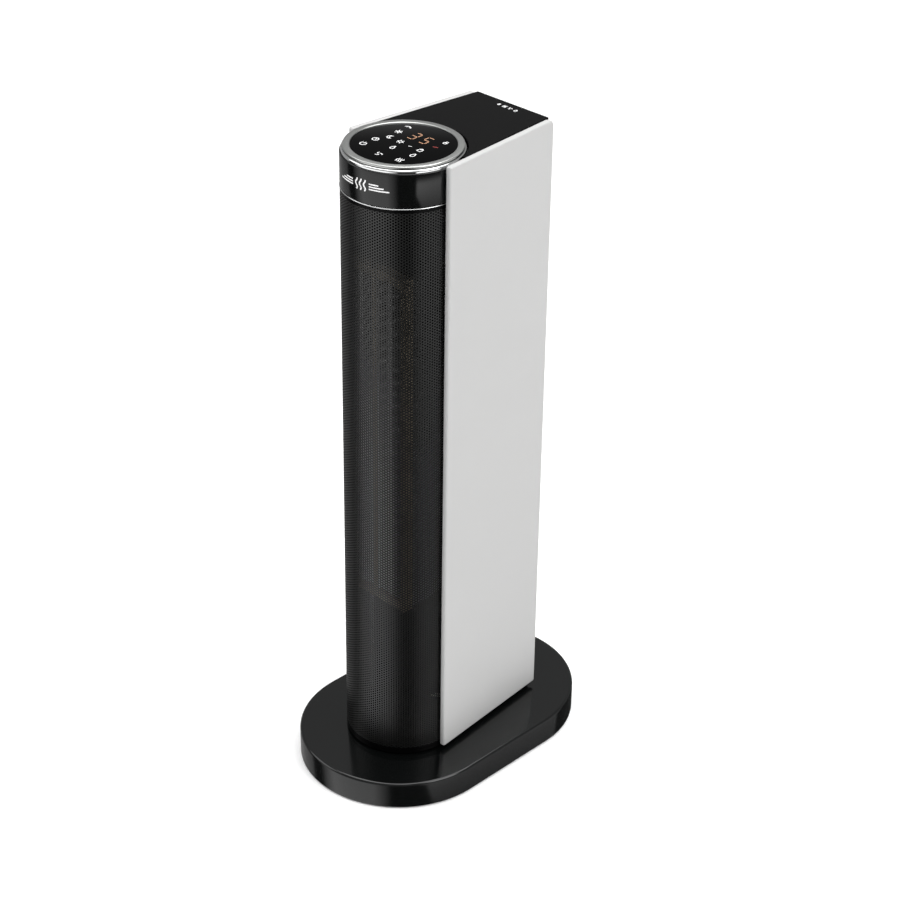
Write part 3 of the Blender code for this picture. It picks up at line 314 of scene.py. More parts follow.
Finish = Plastic | Metal | Printed | Net

WHITE_PANEL = Plastic("white_satin_panel", "white_panel", (0.51, 0.51, 0.507), 0.42, 0.0011, 0.000006, 0.012)
GLOSS_BLACK = Plastic("gloss_black_shell", "black_gloss", (0.0022, 0.0026, 0.0026), 0.12, 0.006, 0.000003,
                      0.2, 0.5)
SATIN_BLACK = Plastic("satin_black_plate", "black_satin", (0.0013, 0.0013, 0.0014), 0.26, 0.0006, 0.000012,
                      0.2, 0.07)
GRILLE_BLACK = Plastic("enamelled_grille", "black_satin", (0.002, 0.0023, 0.002), 0.38, 0.0008, 0.000008,
                       0.3, 0.7)
MATT_BLACK = Plastic("spark_black_casing", "black_matte", (0.014, 0.014, 0.0145), 0.55, 0.0005, 0.00003, 0.25)
ROCKER_BLACK = Plastic("moulded_rocker", "black_satin", (0.03, 0.03, 0.031), 0.3, 0.0006, 0.000008, 0.2)
RUBBER = Plastic("foot_rubber", "rubber", (0.02, 0.02, 0.02), 0.85, 0.0009, 0.00003, 0.3, 0.3)
GLASS = Plastic("printed_black_glass", "black_glass", (0.001, 0.001, 0.0011), 0.07, 0.01, 0.000001, 0.1, 0.04)
NYLON = Plastic("natural_nylon", "white_nylon", (0.74, 0.72, 0.66), 0.48, 0.0015, 0.00001, 0.04)
MICA = Plastic("heat_proof_frame", "mica", (0.33, 0.28, 0.21), 0.62, 0.0007, 0.00003, 0.25)
BOARD = Plastic("solder_mask", "board", (0.012, 0.1, 0.04), 0.4, 0.002, 0.00001, 0.2)
CHROME = Metal("polished_chrome", "chrome", (0.86, 0.87, 0.87), 0.07, Brush.NONE, 0.000001)
STEEL = Metal("zinc_plated_steel", "steel", (0.56, 0.56, 0.55), 0.36)
DARK_STEEL = Metal("blackened_steel", "black_steel", (0.05, 0.05, 0.05), 0.42)
GALVANISED = Metal("galvanised_sheet", "galvanised", (0.5, 0.51, 0.52), 0.46, Brush.UPRIGHT)
ALUMINIUM = Metal("bare_aluminium", "aluminium", (0.72, 0.72, 0.72), 0.38, Brush.UPRIGHT)
BRONZE = Metal("sintered_bronze", "brass", (0.66, 0.46, 0.2), 0.42)
# Painted highlight: the white ink of the printed marks glows though it is no lamp.
INK_WITH_PAINTED_GLOW = Printed("white_ink_painted_glow", "black_glass", (0.85, 0.85, 0.85), 0.25)
AMBER = Printed("amber_segment", "black_glass", (0.5, 0.27, 0.16), 0.22)
RED_LAMP = Printed("red_lamp", "black_glass", (0.26, 0.03, 0.026), 0.15)
FILTER_NET = Net("filter_net_weave", "filter_net", (0.06, 0.06, 0.06), 0.0016)


@dataclass
class Paints:
    """The finishes in use, each made once."""

    made: dict[str, bpy.types.Material] = field(default_factory=dict)

    def of(self, finish: Finish) -> bpy.types.Material:
        """The material of a finish."""
        if finish.name not in self.made:
            self.made[finish.name] = finish.make()
        return self.made[finish.name]


# ---------------------------------------------------------------- outlines and meshes

def arc(radius: float, start: float, end: float, centre: Point = (0.0, 0.0), points: int = 9) -> list[Point]:
    """Points of an arc between two angles in radians, both ends included."""
    angles = [start + (end - start) * n / (points - 1) for n in range(points)]
    return [(centre[0] + radius * math.cos(a), centre[1] + radius * math.sin(a)) for a in angles]


def circle(radius: float, centre: Point = (0.0, 0.0), points: int = 32) -> list[Point]:
    """Points of a whole circle."""
    return arc(radius, 0.0, 2 * math.pi * (points - 1) / points, centre, points)


def stadium(half_width: float, half_length: float, points: int = 64) -> list[Point]:
    """Two half circles joined by straight sides along Y."""
    straight = half_length - half_width
    rear = arc(half_width, 0.0, math.pi, (0.0, straight), points)
    return rear + arc(half_width, math.pi, 2 * math.pi, (0.0, -straight), points)


def rounded_top(out: float, top: float, radius: float, steps: int = 5) -> list[Point]:
    """A profile's outer top corner as an arc, from its side to its top."""
    return arc(radius, 0.0, math.pi / 2, (out - radius, top - radius), steps)


def rounded_foot(out: float, bottom: float, radius: float, steps: int = 5) -> list[Point]:
    """A profile's outer bottom corner as an arc, from its bottom to its side."""
    return arc(radius, -math.pi / 2, 0.0, (out - radius, bottom + radius), steps)


def ribbon(line: Sequence[Point], width: float, closed: bool = False) -> list[Point]:
    """Outline of a stroke along a line, which may return to its start, with a hair's gap."""
    points = [Vector(p) for p in line]
    if closed:
        points.append(points[0].lerp(points[1], 0.02))
    left, right = [], []
    for n, point in enumerate(points):
        along = (points[min(n + 1, len(points) - 1)] - points[max(n - 1, 0)]).normalized()
        across = Vector((-along.y, along.x)) * width / 2
        left.append(tuple(point + across))
        right.append(tuple(point - across))
    return right + left[::-1]


def turned(profile: Sequence[Point], steps: int = ROUND, centre: Point = (0.0, 0.0)) -> bmesh.types.BMesh:
    """A closed mesh of a (radius, height) profile turned about an upright axis.

    The profile may start and end on the axis, and the centre is where the axis stands.
    """
    mesh = bmesh.new()
    verts = [mesh.verts.new((r, 0, z)) for r, z in profile]
    edges = [mesh.edges.new(pair) for pair in zip(verts, verts[1:])]
    if profile[0][0] > 0:
        edges.append(mesh.edges.new((verts[-1], verts[0])))
    bmesh.ops.spin(mesh, geom=verts + edges, cent=(0, 0, 0), axis=(0, 0, 1),
                   angle=2 * math.pi, steps=steps, use_merge=True)
    bmesh.ops.remove_doubles(mesh, verts=mesh.verts, dist=0.000001)
    bmesh.ops.recalc_face_normals(mesh, faces=mesh.faces)
    bmesh.ops.translate(mesh, verts=mesh.verts, vec=(*centre, 0))
    return mesh


def looped(loops: Sequence[Sequence[Spot]]) -> bmesh.types.BMesh:
    """A closed skin through equal loops of points, the last joined to the first."""
    mesh = bmesh.new()
    rings = [[mesh.verts.new(spot) for spot in loop] for loop in loops]
    for ring, following in zip(rings, rings[1:] + rings[:1]):
        for n in range(len(ring)):
            mesh.faces.new((ring[n - 1], ring[n], following[n], following[n - 1]))
    bmesh.ops.recalc_face_normals(mesh, faces=mesh.faces)
    return mesh


def extruded(outline: Sequence[Point], bottom: float, top: float,
             holes: Iterable[Sequence[Point]] = ()) -> bmesh.types.BMesh:
    """A flat outline with holes drawn up from bottom to top."""
    mesh = bmesh.new()
    edges = []
    for loop in (outline, *holes):
        verts = [mesh.verts.new((x, y, bottom)) for x, y in loop]
        edges += [mesh.edges.new(pair) for pair in zip(verts, verts[1:] + verts[:1])]
    if len(edges) > len(outline):
        bmesh.ops.triangle_fill(mesh, use_beauty=True, edges=edges)
    else:
        mesh.faces.new(mesh.verts)
    raised = bmesh.ops.extrude_face_region(mesh, geom=mesh.faces[:], use_keep_orig=True)
    verts = [item for item in raised["geom"] if isinstance(item, bmesh.types.BMVert)]
    bmesh.ops.translate(mesh, verts=verts, vec=(0, 0, top - bottom))
    bmesh.ops.recalc_face_normals(mesh, faces=mesh.faces)
    return mesh


def boxed(low: Spot, high: Spot) -> bmesh.types.BMesh:
    """A block between two corners."""
    mesh = bmesh.new()
    bmesh.ops.create_cube(mesh, size=1.0)
    size = Vector(high) - Vector(low)
    bmesh.ops.scale(mesh, vec=size, verts=mesh.verts)
    bmesh.ops.translate(mesh, verts=mesh.verts, vec=(Vector(high) + Vector(low)) / 2)
    return mesh


def gathered(meshes: Iterable[bmesh.types.BMesh]) -> bmesh.types.BMesh:
    """Several meshes as one."""
    whole = bmesh.new()
    carrier = bpy.data.meshes.new("carrier")
    for mesh in meshes:
        mesh.to_mesh(carrier)
        mesh.free()
        whole.from_mesh(carrier)
    bpy.data.meshes.remove(carrier)
    return whole


def shifted(mesh: bmesh.types.BMesh, place: Sequence[float], turn: Matrix | None = None) -> bmesh.types.BMesh:
    """Turn a mesh about the origin, then move it."""
    if turn is not None:
        bmesh.ops.transform(mesh, matrix=turn, verts=mesh.verts)
    bmesh.ops.translate(mesh, verts=mesh.verts, vec=place)
    return mesh


def bent(mesh: bmesh.types.BMesh, radius: float, centre: Point) -> bmesh.types.BMesh:
    """Wrap a flat mesh round a column's front: its x runs along, its z up, and its y stands outwards."""
    for vert in mesh.verts:
        angle = vert.co.x / radius
        reach = radius + vert.co.y
        vert.co = (centre[0] + reach * math.sin(angle), centre[1] - reach * math.cos(angle), vert.co.z)
    bmesh.ops.recalc_face_normals(mesh, faces=mesh.faces)
    return mesh


# ---------------------------------------------------------------- repeated pieces

class Pattern(Graph):
    """A Geometry Nodes tree with named inputs, which is run once and turned into a plain mesh."""

    def __init__(self, name: str) -> None:
        """Start an empty tree with a geometry output."""
        super().__init__(bpy.data.node_groups.new(name, "GeometryNodeTree"))
        self.sockets: dict[str, str] = {}
        self.tree.interface.new_socket(name="Geometry", in_out="OUTPUT", socket_type="NodeSocketGeometry")
        self.source = self.tree.nodes.new("NodeGroupInput")
        self.sink = self.tree.nodes.new("NodeGroupOutput")

    def inputs(self, kind: str, *names: str) -> list[Signal]:
        """Add named inputs of one kind, such as Float, Int, Vector, Object or Material."""
        for name in names:
            made = self.tree.interface.new_socket(name=name, in_out="INPUT", socket_type=f"NodeSocket{kind}")
            self.sockets[name] = made.identifier
        return [Signal(self, self.source.outputs[name]) for name in names]

    def step(self, kind: str, geometry: bpy.types.NodeSocket, inputs: dict | None = None,
             settings: dict | None = None) -> bpy.types.NodeSocket:
        """Pass geometry through a node and return what comes out."""
        made = self.node(kind, settings, {0: geometry, **(inputs or {})})
        return made.outputs[0]

    def index(self) -> Signal:
        """The number of each point."""
        return Signal(self, self.node("GeometryNodeInputIndex").outputs[0])

    def lay(self, points: bpy.types.NodeSocket, shape: Signal, inputs: dict | None = None
            ) -> bpy.types.NodeSocket:
        """Put an object's geometry on every point."""
        made = self.node("GeometryNodeObjectInfo", inputs={"Object": shape, "As Instance": True})
        return self.step("GeometryNodeInstanceOnPoints", points,
                         {"Instance": made.outputs["Geometry"], **(inputs or {})})

    def close(self, geometry: bpy.types.NodeSocket) -> None:
        """End the tree with real geometry and its material."""
        material, = self.inputs("Material", "Material")
        real = self.step("GeometryNodeRealizeInstances", geometry)
        painted = self.step("GeometryNodeSetMaterial", real, {"Material": material})
        self.tree.links.new(painted, self.sink.inputs[0])

    def run(self, name: str, values: dict[str, object]) -> bpy.types.Object:
        """Evaluate the tree with its inputs' values, and hold the result as a plain mesh in a new object."""
        holder = bpy.data.objects.new(name, bpy.data.meshes.new(f"{name}_seed"))
        bpy.context.scene.collection.objects.link(holder)
        modifier = holder.modifiers.new(name, "NODES")
        modifier.node_group = self.tree
        for key, value in values.items():
            modifier[self.sockets[key]] = value
        holder.update_tag()
        bpy.context.view_layer.update()
        graph = bpy.context.evaluated_depsgraph_get()
        result = bpy.data.meshes.new_from_object(holder.evaluated_get(graph), depsgraph=graph)
        holder.modifiers.remove(modifier)
        holder.data = result
        result.name = name
        return holder


def sheet_pattern() -> Pattern:
    """The tree of a perforated sheet: staggered tiles on a grid, bent round a column and made thick."""
    tree = Pattern("perforated_sheet")
    tile, = tree.inputs("Object", "Shape")
    columns, rows = tree.inputs("Int", "Columns", "Rows")
    pitch, rise, radius, bottom, behind, thickness = tree.inputs(
        "Float", "Pitch", "Row rise", "Radius", "Bottom", "Axis y", "Thickness")
    grid = tree.node("GeometryNodeMeshGrid", inputs={"Size X": (columns - 1) * pitch, "Vertices X": columns,
                                                     "Size Y": (rows - 1) * rise, "Vertices Y": rows})
    shift = (tree.math("FLOOR", tree.index() / rows) % 2) * rise * 0.5
    spots = tree.step("GeometryNodeSetPosition", grid.outputs[0], {"Offset": tree.join(0.0, shift, 0.0)})
    flat = tree.step("GeometryNodeRealizeInstances", tree.lay(spots, tile))
    flat = tree.step("GeometryNodeMergeByDistance", flat, {"Distance": 0.00002})
    along, up, _ = tree.split(Signal(tree, tree.node("GeometryNodeInputPosition").outputs[0]))
    angle = along / radius
    height = up + bottom + rows * rise * 0.5
    sideways = radius * tree.math("SINE", angle)
    wrapped = tree.join(sideways, behind - radius * tree.math("COSINE", angle), height)
    skin = tree.step("GeometryNodeSetPosition", flat, {"Position": wrapped})
    inner = tree.step("GeometryNodeFlipFaces", skin)
    inner = tree.step("GeometryNodeExtrudeMesh", inner, {"Offset Scale": thickness, "Individual": False})
    both = tree.node("GeometryNodeJoinGeometry")
    for part in (skin, inner):
        tree.tree.links.new(part, both.inputs[0])
    tree.close(tree.step("GeometryNodeMergeByDistance", both.outputs[0], {"Distance": 0.00001}))
    return tree


def row_pattern() -> Pattern:
    """The tree of one shape repeated along a straight step, such as fins and slats."""
    tree = Pattern("row_of_pieces")
    shape, = tree.inputs("Object", "Shape")
    count, = tree.inputs("Int", "Count")
    start, step = tree.inputs("Vector", "Start", "Step")
    line = tree.node("GeometryNodeMeshLine", {"mode": "OFFSET"},
                     {"Count": count, "Start Location": start, "Offset": step})
    tree.close(tree.lay(line.outputs[0], shape))
    return tree


def ring_pattern() -> Pattern:
    """The tree of one shape repeated round an upright axis in several storeys, such as fan blades."""
    tree = Pattern("ring_of_pieces")
    shape, = tree.inputs("Object", "Shape")
    count, storeys = tree.inputs("Int", "Count", "Storeys")
    rise, twist = tree.inputs("Float", "Storey rise", "Storey twist")
    place, = tree.inputs("Vector", "Place")
    total = tree.node("GeometryNodeMeshLine", {"mode": "OFFSET"},
                      {"Count": count * storeys, "Start Location": place, "Offset": (0.0, 0.0, 0.0)})
    index = tree.index()
    storey = tree.math("FLOOR", index / count)
    lift = tree.join(0.0, 0.0, storey * rise)
    spots = tree.step("GeometryNodeSetPosition", total.outputs[0], {"Offset": lift})
    turn = tree.join(0.0, 0.0, index * (2 * math.pi) / count + storey * twist)
    tree.close(tree.lay(spots, shape, {"Rotation": turn}))
    return tree


def spot_pattern() -> Pattern:
    """The tree of one shape set on given spots, such as screws and feet."""
    tree = Pattern("pieces_on_spots")
    shape, spots = tree.inputs("Object", "Shape", "Spots")
    points = tree.node("GeometryNodeObjectInfo", inputs={"Object": spots})
    tree.close(tree.lay(points.outputs["Geometry"], shape))
    return tree


# ---------------------------------------------------------------- bench

class Bench:
    """Puts finished pieces in the scene and fixes them to the frame."""

    def __init__(self, frame: dict) -> None:
        """Keep the frame, the paints and the repeating trees."""
        self.nodes: dict[str, bpy.types.Object] = frame["nodes"]
        self.paints = Paints()
        self.sheet = sheet_pattern()
        self.row = row_pattern()
        self.ring = ring_pattern()
        self.spots = spot_pattern()

    def box(self, node: str) -> tuple[Vector, Vector]:
        """Lowest and highest corner of a frame node."""
        low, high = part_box(node)
        return Vector(low), Vector(high)

    def middle(self, node: str) -> Vector:
        """Middle of a frame node's box."""
        low, high = self.box(node)
        return (low + high) / 2

    def drum(self, node: str) -> tuple[float, float, float]:
        """Radius, bottom and top of a round frame node."""
        low, high = self.box(node)
        return (high.y - low.y) / 2, low.z, high.z

    def smooth(self, data: bpy.types.Mesh) -> None:
        """Shade a mesh smooth, with its edges kept sharp."""
        data.shade_smooth()
        data.set_sharp_from_angle(angle=SHARP)

    def plain(self, name: str, mesh: bmesh.types.BMesh) -> bpy.types.Object:
        """Turn a bmesh into a smooth object."""
        data = bpy.data.meshes.new(name)
        mesh.to_mesh(data)
        mesh.free()
        self.smooth(data)
        item = bpy.data.objects.new(name, data)
        bpy.context.scene.collection.objects.link(item)
        return item

    def fix(self, item: bpy.types.Object, finish: Finish, body: str, *nodes: str) -> bpy.types.Object:
        """Paint a piece, fix it to the body that it rides on and let it stand for frame nodes."""
        item.data.materials.clear()
        item.data.materials.append(self.paints.of(finish))
        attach(item, body)
        if nodes:
            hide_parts(*nodes)
        LOG.info("%s: %d faces on %s", item.name, len(item.data.polygons), body)
        return item

    def piece(self, name: str, mesh: bmesh.types.BMesh, finish: Finish, body: str, *nodes: str
              ) -> bpy.types.Object:
        """Make a piece of a bmesh and fix it."""
        return self.fix(self.plain(name, mesh), finish, body, *nodes)

    def repeated(self, pattern: Pattern, name: str, shape: bmesh.types.BMesh, values: dict[str, object],
                 finish: Finish, body: str, *nodes: str) -> None:
        """Repeat a shape with a pattern, given its other inputs' values, and fix the result."""
        part = self.plain(f"{name}_unit", shape)
        item = pattern.run(name, {"Shape": part, "Material": self.paints.of(finish), **values})
        bpy.data.objects.remove(part, do_unlink=True)
        self.smooth(item.data)
        self.fix(item, finish, body, *nodes)

    def on_nodes(self, name: str, shape: bmesh.types.BMesh, end: Vector, finish: Finish, body: str,
                 *nodes: str) -> None:
        """Stand copies of a shape for equal nodes, each on one end of a node's box, and fix the result."""
        cloud = bmesh.new()
        for node in nodes:
            cloud.verts.new(self.middle(node) + end)
        marks = self.plain(f"{name}_spots", cloud)
        self.repeated(self.spots, name, shape, {"Spots": marks}, finish, body, *nodes)
        bpy.data.objects.remove(marks, do_unlink=True)

    def screws(self, stem: str, count: int, finish: Finish, body: str, forwards: bool = False) -> None:
        """Stand cross-head screws for numbered nodes: pointing up, or forwards from the rear."""
        names = [f"{stem}_{n + 1}" for n in range(count)]
        low, high = self.box(names[0])
        length = high.y - low.y if forwards else high.z - low.z
        shape = cross_screw((high.x - low.x) / 2 - SKIN, length)
        end = Vector((0.0, 0.0, -length / 2))
        if forwards:
            turn = Matrix.Rotation(math.radians(90), 4, "X")
            shape, end = shifted(shape, (0, 0, 0), turn), turn.to_3x3() @ end
        self.on_nodes(f"{stem}s", shape, end, finish, body, *names)

    def refined(self, node: str, finish: Finish, body: str) -> None:
        """Stand a clean copy of a frame node in its place, with even shading over its flat faces."""
        mesh = bmesh.new()
        mesh.from_mesh(self.nodes[node].data)
        bmesh.ops.remove_doubles(mesh, verts=mesh.verts, dist=0.000002)
        bmesh.ops.dissolve_limit(mesh, angle_limit=math.radians(0.5), verts=mesh.verts, edges=mesh.edges)
        item = self.piece(f"{node}_skin", mesh, finish, body, node)
        modifier = item.modifiers.new("even_shading", "WEIGHTED_NORMAL")
        modifier.keep_sharp = True

    def dress(self, finish: Finish, *nodes: str) -> None:
        """Give frame nodes that stay as they are their finish."""
        for node in nodes:
            data = self.nodes[node].data
            data.materials.clear()
            data.materials.append(self.paints.of(finish))
            LOG.info("%s: %s", node, finish.name)


# ---------------------------------------------------------------- base

def cross_screw(head: float, length: float, rise: float = 0.0016, shank: float = 0.0015) -> bmesh.types.BMesh:
    """A flat-head screw that points up, its outer face on z = 0 with a cross recess in it.

    Args:
        head: Radius of the head.
        length: Length over all.
        rise: Height of the head.
        shank: Radius of the shank.

    Returns:
        The screw.
    """
    recess = rise * 0.45
    slot, reach = head * 0.14, head * 0.6
    arm = [(reach, slot), (reach, -slot), (slot, -slot)]
    cross = []
    for _ in range(4):
        cross += arm
        arm = [(y, -x) for x, y in arm]
    face = extruded(circle(head, points=24), 0.0, recess, [cross])
    body = turned([(0.0, recess), (head, recess), (head, rise), (shank, rise), (shank, length - shank),
                   (0.0, length)], 24)
    return gathered([face, body])


@dataclass
class Base:
    """The standing part: a gloss shell on rubber feet, with the swing drive inside."""

    bench: Bench
    wall: float = 0.0026
    roof: float = 0.003
    edge: float = 0.0026
    opening: float = 0.030
    groove: float = 0.0004
    mouth_gap: float = 0.02

    def build(self) -> None:
        """Make the shell, feet and screws, and dress the rest."""
        bench = self.bench
        self.shell()
        self.feet()
        bench.screws("cover_screw", 4, STEEL, "base")
        bench.refined("bottom_cover", MATT_BLACK, "base")
        bench.dress(STEEL, "ballast_plate", "oscillation_motor", "tip_spring")
        bench.dress(MATT_BLACK, "tip_switch_housing")
        bench.dress(NYLON, "tip_plunger", "oscillation_pinion", "glide_ring")
        bench.dress(RUBBER, "cord_gland")

    def shell(self) -> None:
        """The stadium shell, with a soft top edge and a fine groove above its foot."""
        low, high = self.bench.box("base_shell")
        half_width, half_length = high.x, high.y
        profile = [(self.wall, low.z), (self.groove, low.z), (0.0, low.z + self.groove)]
        soft_top = arc(self.edge, 0.0, math.pi / 2, (0.0, high.z - self.edge), 8)
        profile += [(self.edge - x, z) for x, z in soft_top]

        def loop(inset: float, height: float) -> list[Spot]:
            """The stadium, drawn in by an inset, at a height."""
            return [(x, y, height) for x, y in stadium(half_width - inset, half_length - inset)]

        loops = [loop(inset, height) for inset, height in profile]
        mouth = self.mouth(len(loops[0]))
        under = high.z - self.roof
        loops += [[(x, y, height) for x, y in mouth] for height in (high.z, under)]
        loops.append(loop(self.wall, under))
        self.bench.piece("base_casing", looped(loops), GLOSS_BLACK, "base", "base_shell")

    def mouth(self, points: int) -> list[Point]:
        """The round opening, with as many points as the stadium and in the same order."""
        half = points // 2
        gap = self.mouth_gap
        rear = arc(self.opening, gap, math.pi - gap, points=half)
        return rear + arc(self.opening, math.pi + gap, 2 * math.pi - gap, points=half)

    def feet(self) -> None:
        """Four turned rubber feet."""
        low, high = self.bench.box("foot_1")
        radius = (high.x - low.x) / 2
        tall = high.z - low.z
        profile = [(0.0, 0.0), (radius * 0.55, 0.0), (radius * 0.6, tall * 0.12), (radius * 0.68, 0.0),
                   (radius * 0.88, 0.0), (radius, tall * 0.35), (radius, tall), (0.0, tall)]
        self.bench.on_nodes("rubber_feet", turned(profile, 40), Vector((0.0, 0.0, -tall / 2)), RUBBER, "base",
                            *(f"foot_{n}" for n in range(1, 5)))


# ---------------------------------------------------------------- head

class Icon(Enum):
    """A plain symbol on the touch glass."""

    POWER = "power"
    CLOCK = "clock"
    FAN = "fan"
    FLAME = "flame"
    SNOW = "snow"
    SWING = "swing"
    SUN = "sun"
    MOON = "moon"
    DROP = "drop"
    LOCK = "lock"
    DASH = "dash"
    PLUG = "plug"
    WAVES = "waves"


def icon_strokes(icon: Icon) -> list[tuple[list[Point], bool]]:
    """The strokes of a symbol inside a circle of radius 1: lines of points, each with whether it closes."""
    full = 2 * math.pi
    ring = circle(0.8, points=20)
    spokes = [([(0.3 * math.cos(a), 0.3 * math.sin(a)), (math.cos(a), math.sin(a))], False)
              for a in (full * n / 6 for n in range(6))]
    wave = [(0.18 * math.sin(full * n / 8), 0.9 - 1.8 * n / 12) for n in range(13)]
    shapes: dict[Icon, list[tuple[list[Point], bool]]] = {
        Icon.POWER: [(arc(0.8, math.radians(125), math.radians(415), points=18), False),
                     ([(0.0, 0.1), (0.0, 1.0)], False)],
        Icon.CLOCK: [(ring, True), ([(0.0, 0.5), (0.0, 0.0), (0.35, -0.2)], False)],
        Icon.FAN: [(arc(0.45, a, a + 2.6, (0.45 * math.cos(a), 0.45 * math.sin(a)), 8), False)
                   for a in (full * n / 3 for n in range(3))],
        Icon.FLAME: [([(0.0, 1.0), (-0.5, 0.1), (-0.45, -0.6), (0.0, -0.9), (0.45, -0.6), (0.5, 0.0),
                       (0.2, 0.3)], True)],
        Icon.SNOW: spokes + [(circle(0.3, points=8), True)],
        Icon.SWING: [(arc(0.9, math.radians(40), math.radians(140), (0.0, -0.3), 9), False),
                     ([(-0.95, -0.1), (-0.7, 0.3), (-0.3, 0.0)], False),
                     ([(0.95, -0.1), (0.7, 0.3), (0.3, 0.0)], False)],
        Icon.SUN: spokes + [(circle(0.45, points=12), True)],
        Icon.MOON: [(arc(0.8, math.radians(70), math.radians(330), points=14), False),
                    (arc(0.7, math.radians(110), math.radians(290), (0.45, 0.2), 10), False)],
        Icon.DROP: [([(0.0, 1.0), (-0.55, -0.1), (-0.4, -0.7), (0.0, -0.9), (0.4, -0.7),
                      (0.55, -0.1)], True)],
        Icon.LOCK: [([(-0.6, -0.9), (0.6, -0.9), (0.6, 0.1), (-0.6, 0.1)], True),
                    (arc(0.4, 0.0, math.pi, (0.0, 0.15), 9), False)],
        Icon.DASH: [([(-0.9, -0.35), (0.9, 0.35)], False)],
        Icon.PLUG: [([(-0.5, 0.1), (-0.4, -0.5), (0.4, -0.5), (0.5, 0.1)], True),
                    ([(-0.25, 0.2), (-0.25, 0.9)], False), ([(0.25, 0.2), (0.25, 0.9)], False)],
        Icon.WAVES: [([(x + side, y) for x, y in wave], False) for side in (-0.65, 0.0, 0.65)],
    }
    return shapes[icon]


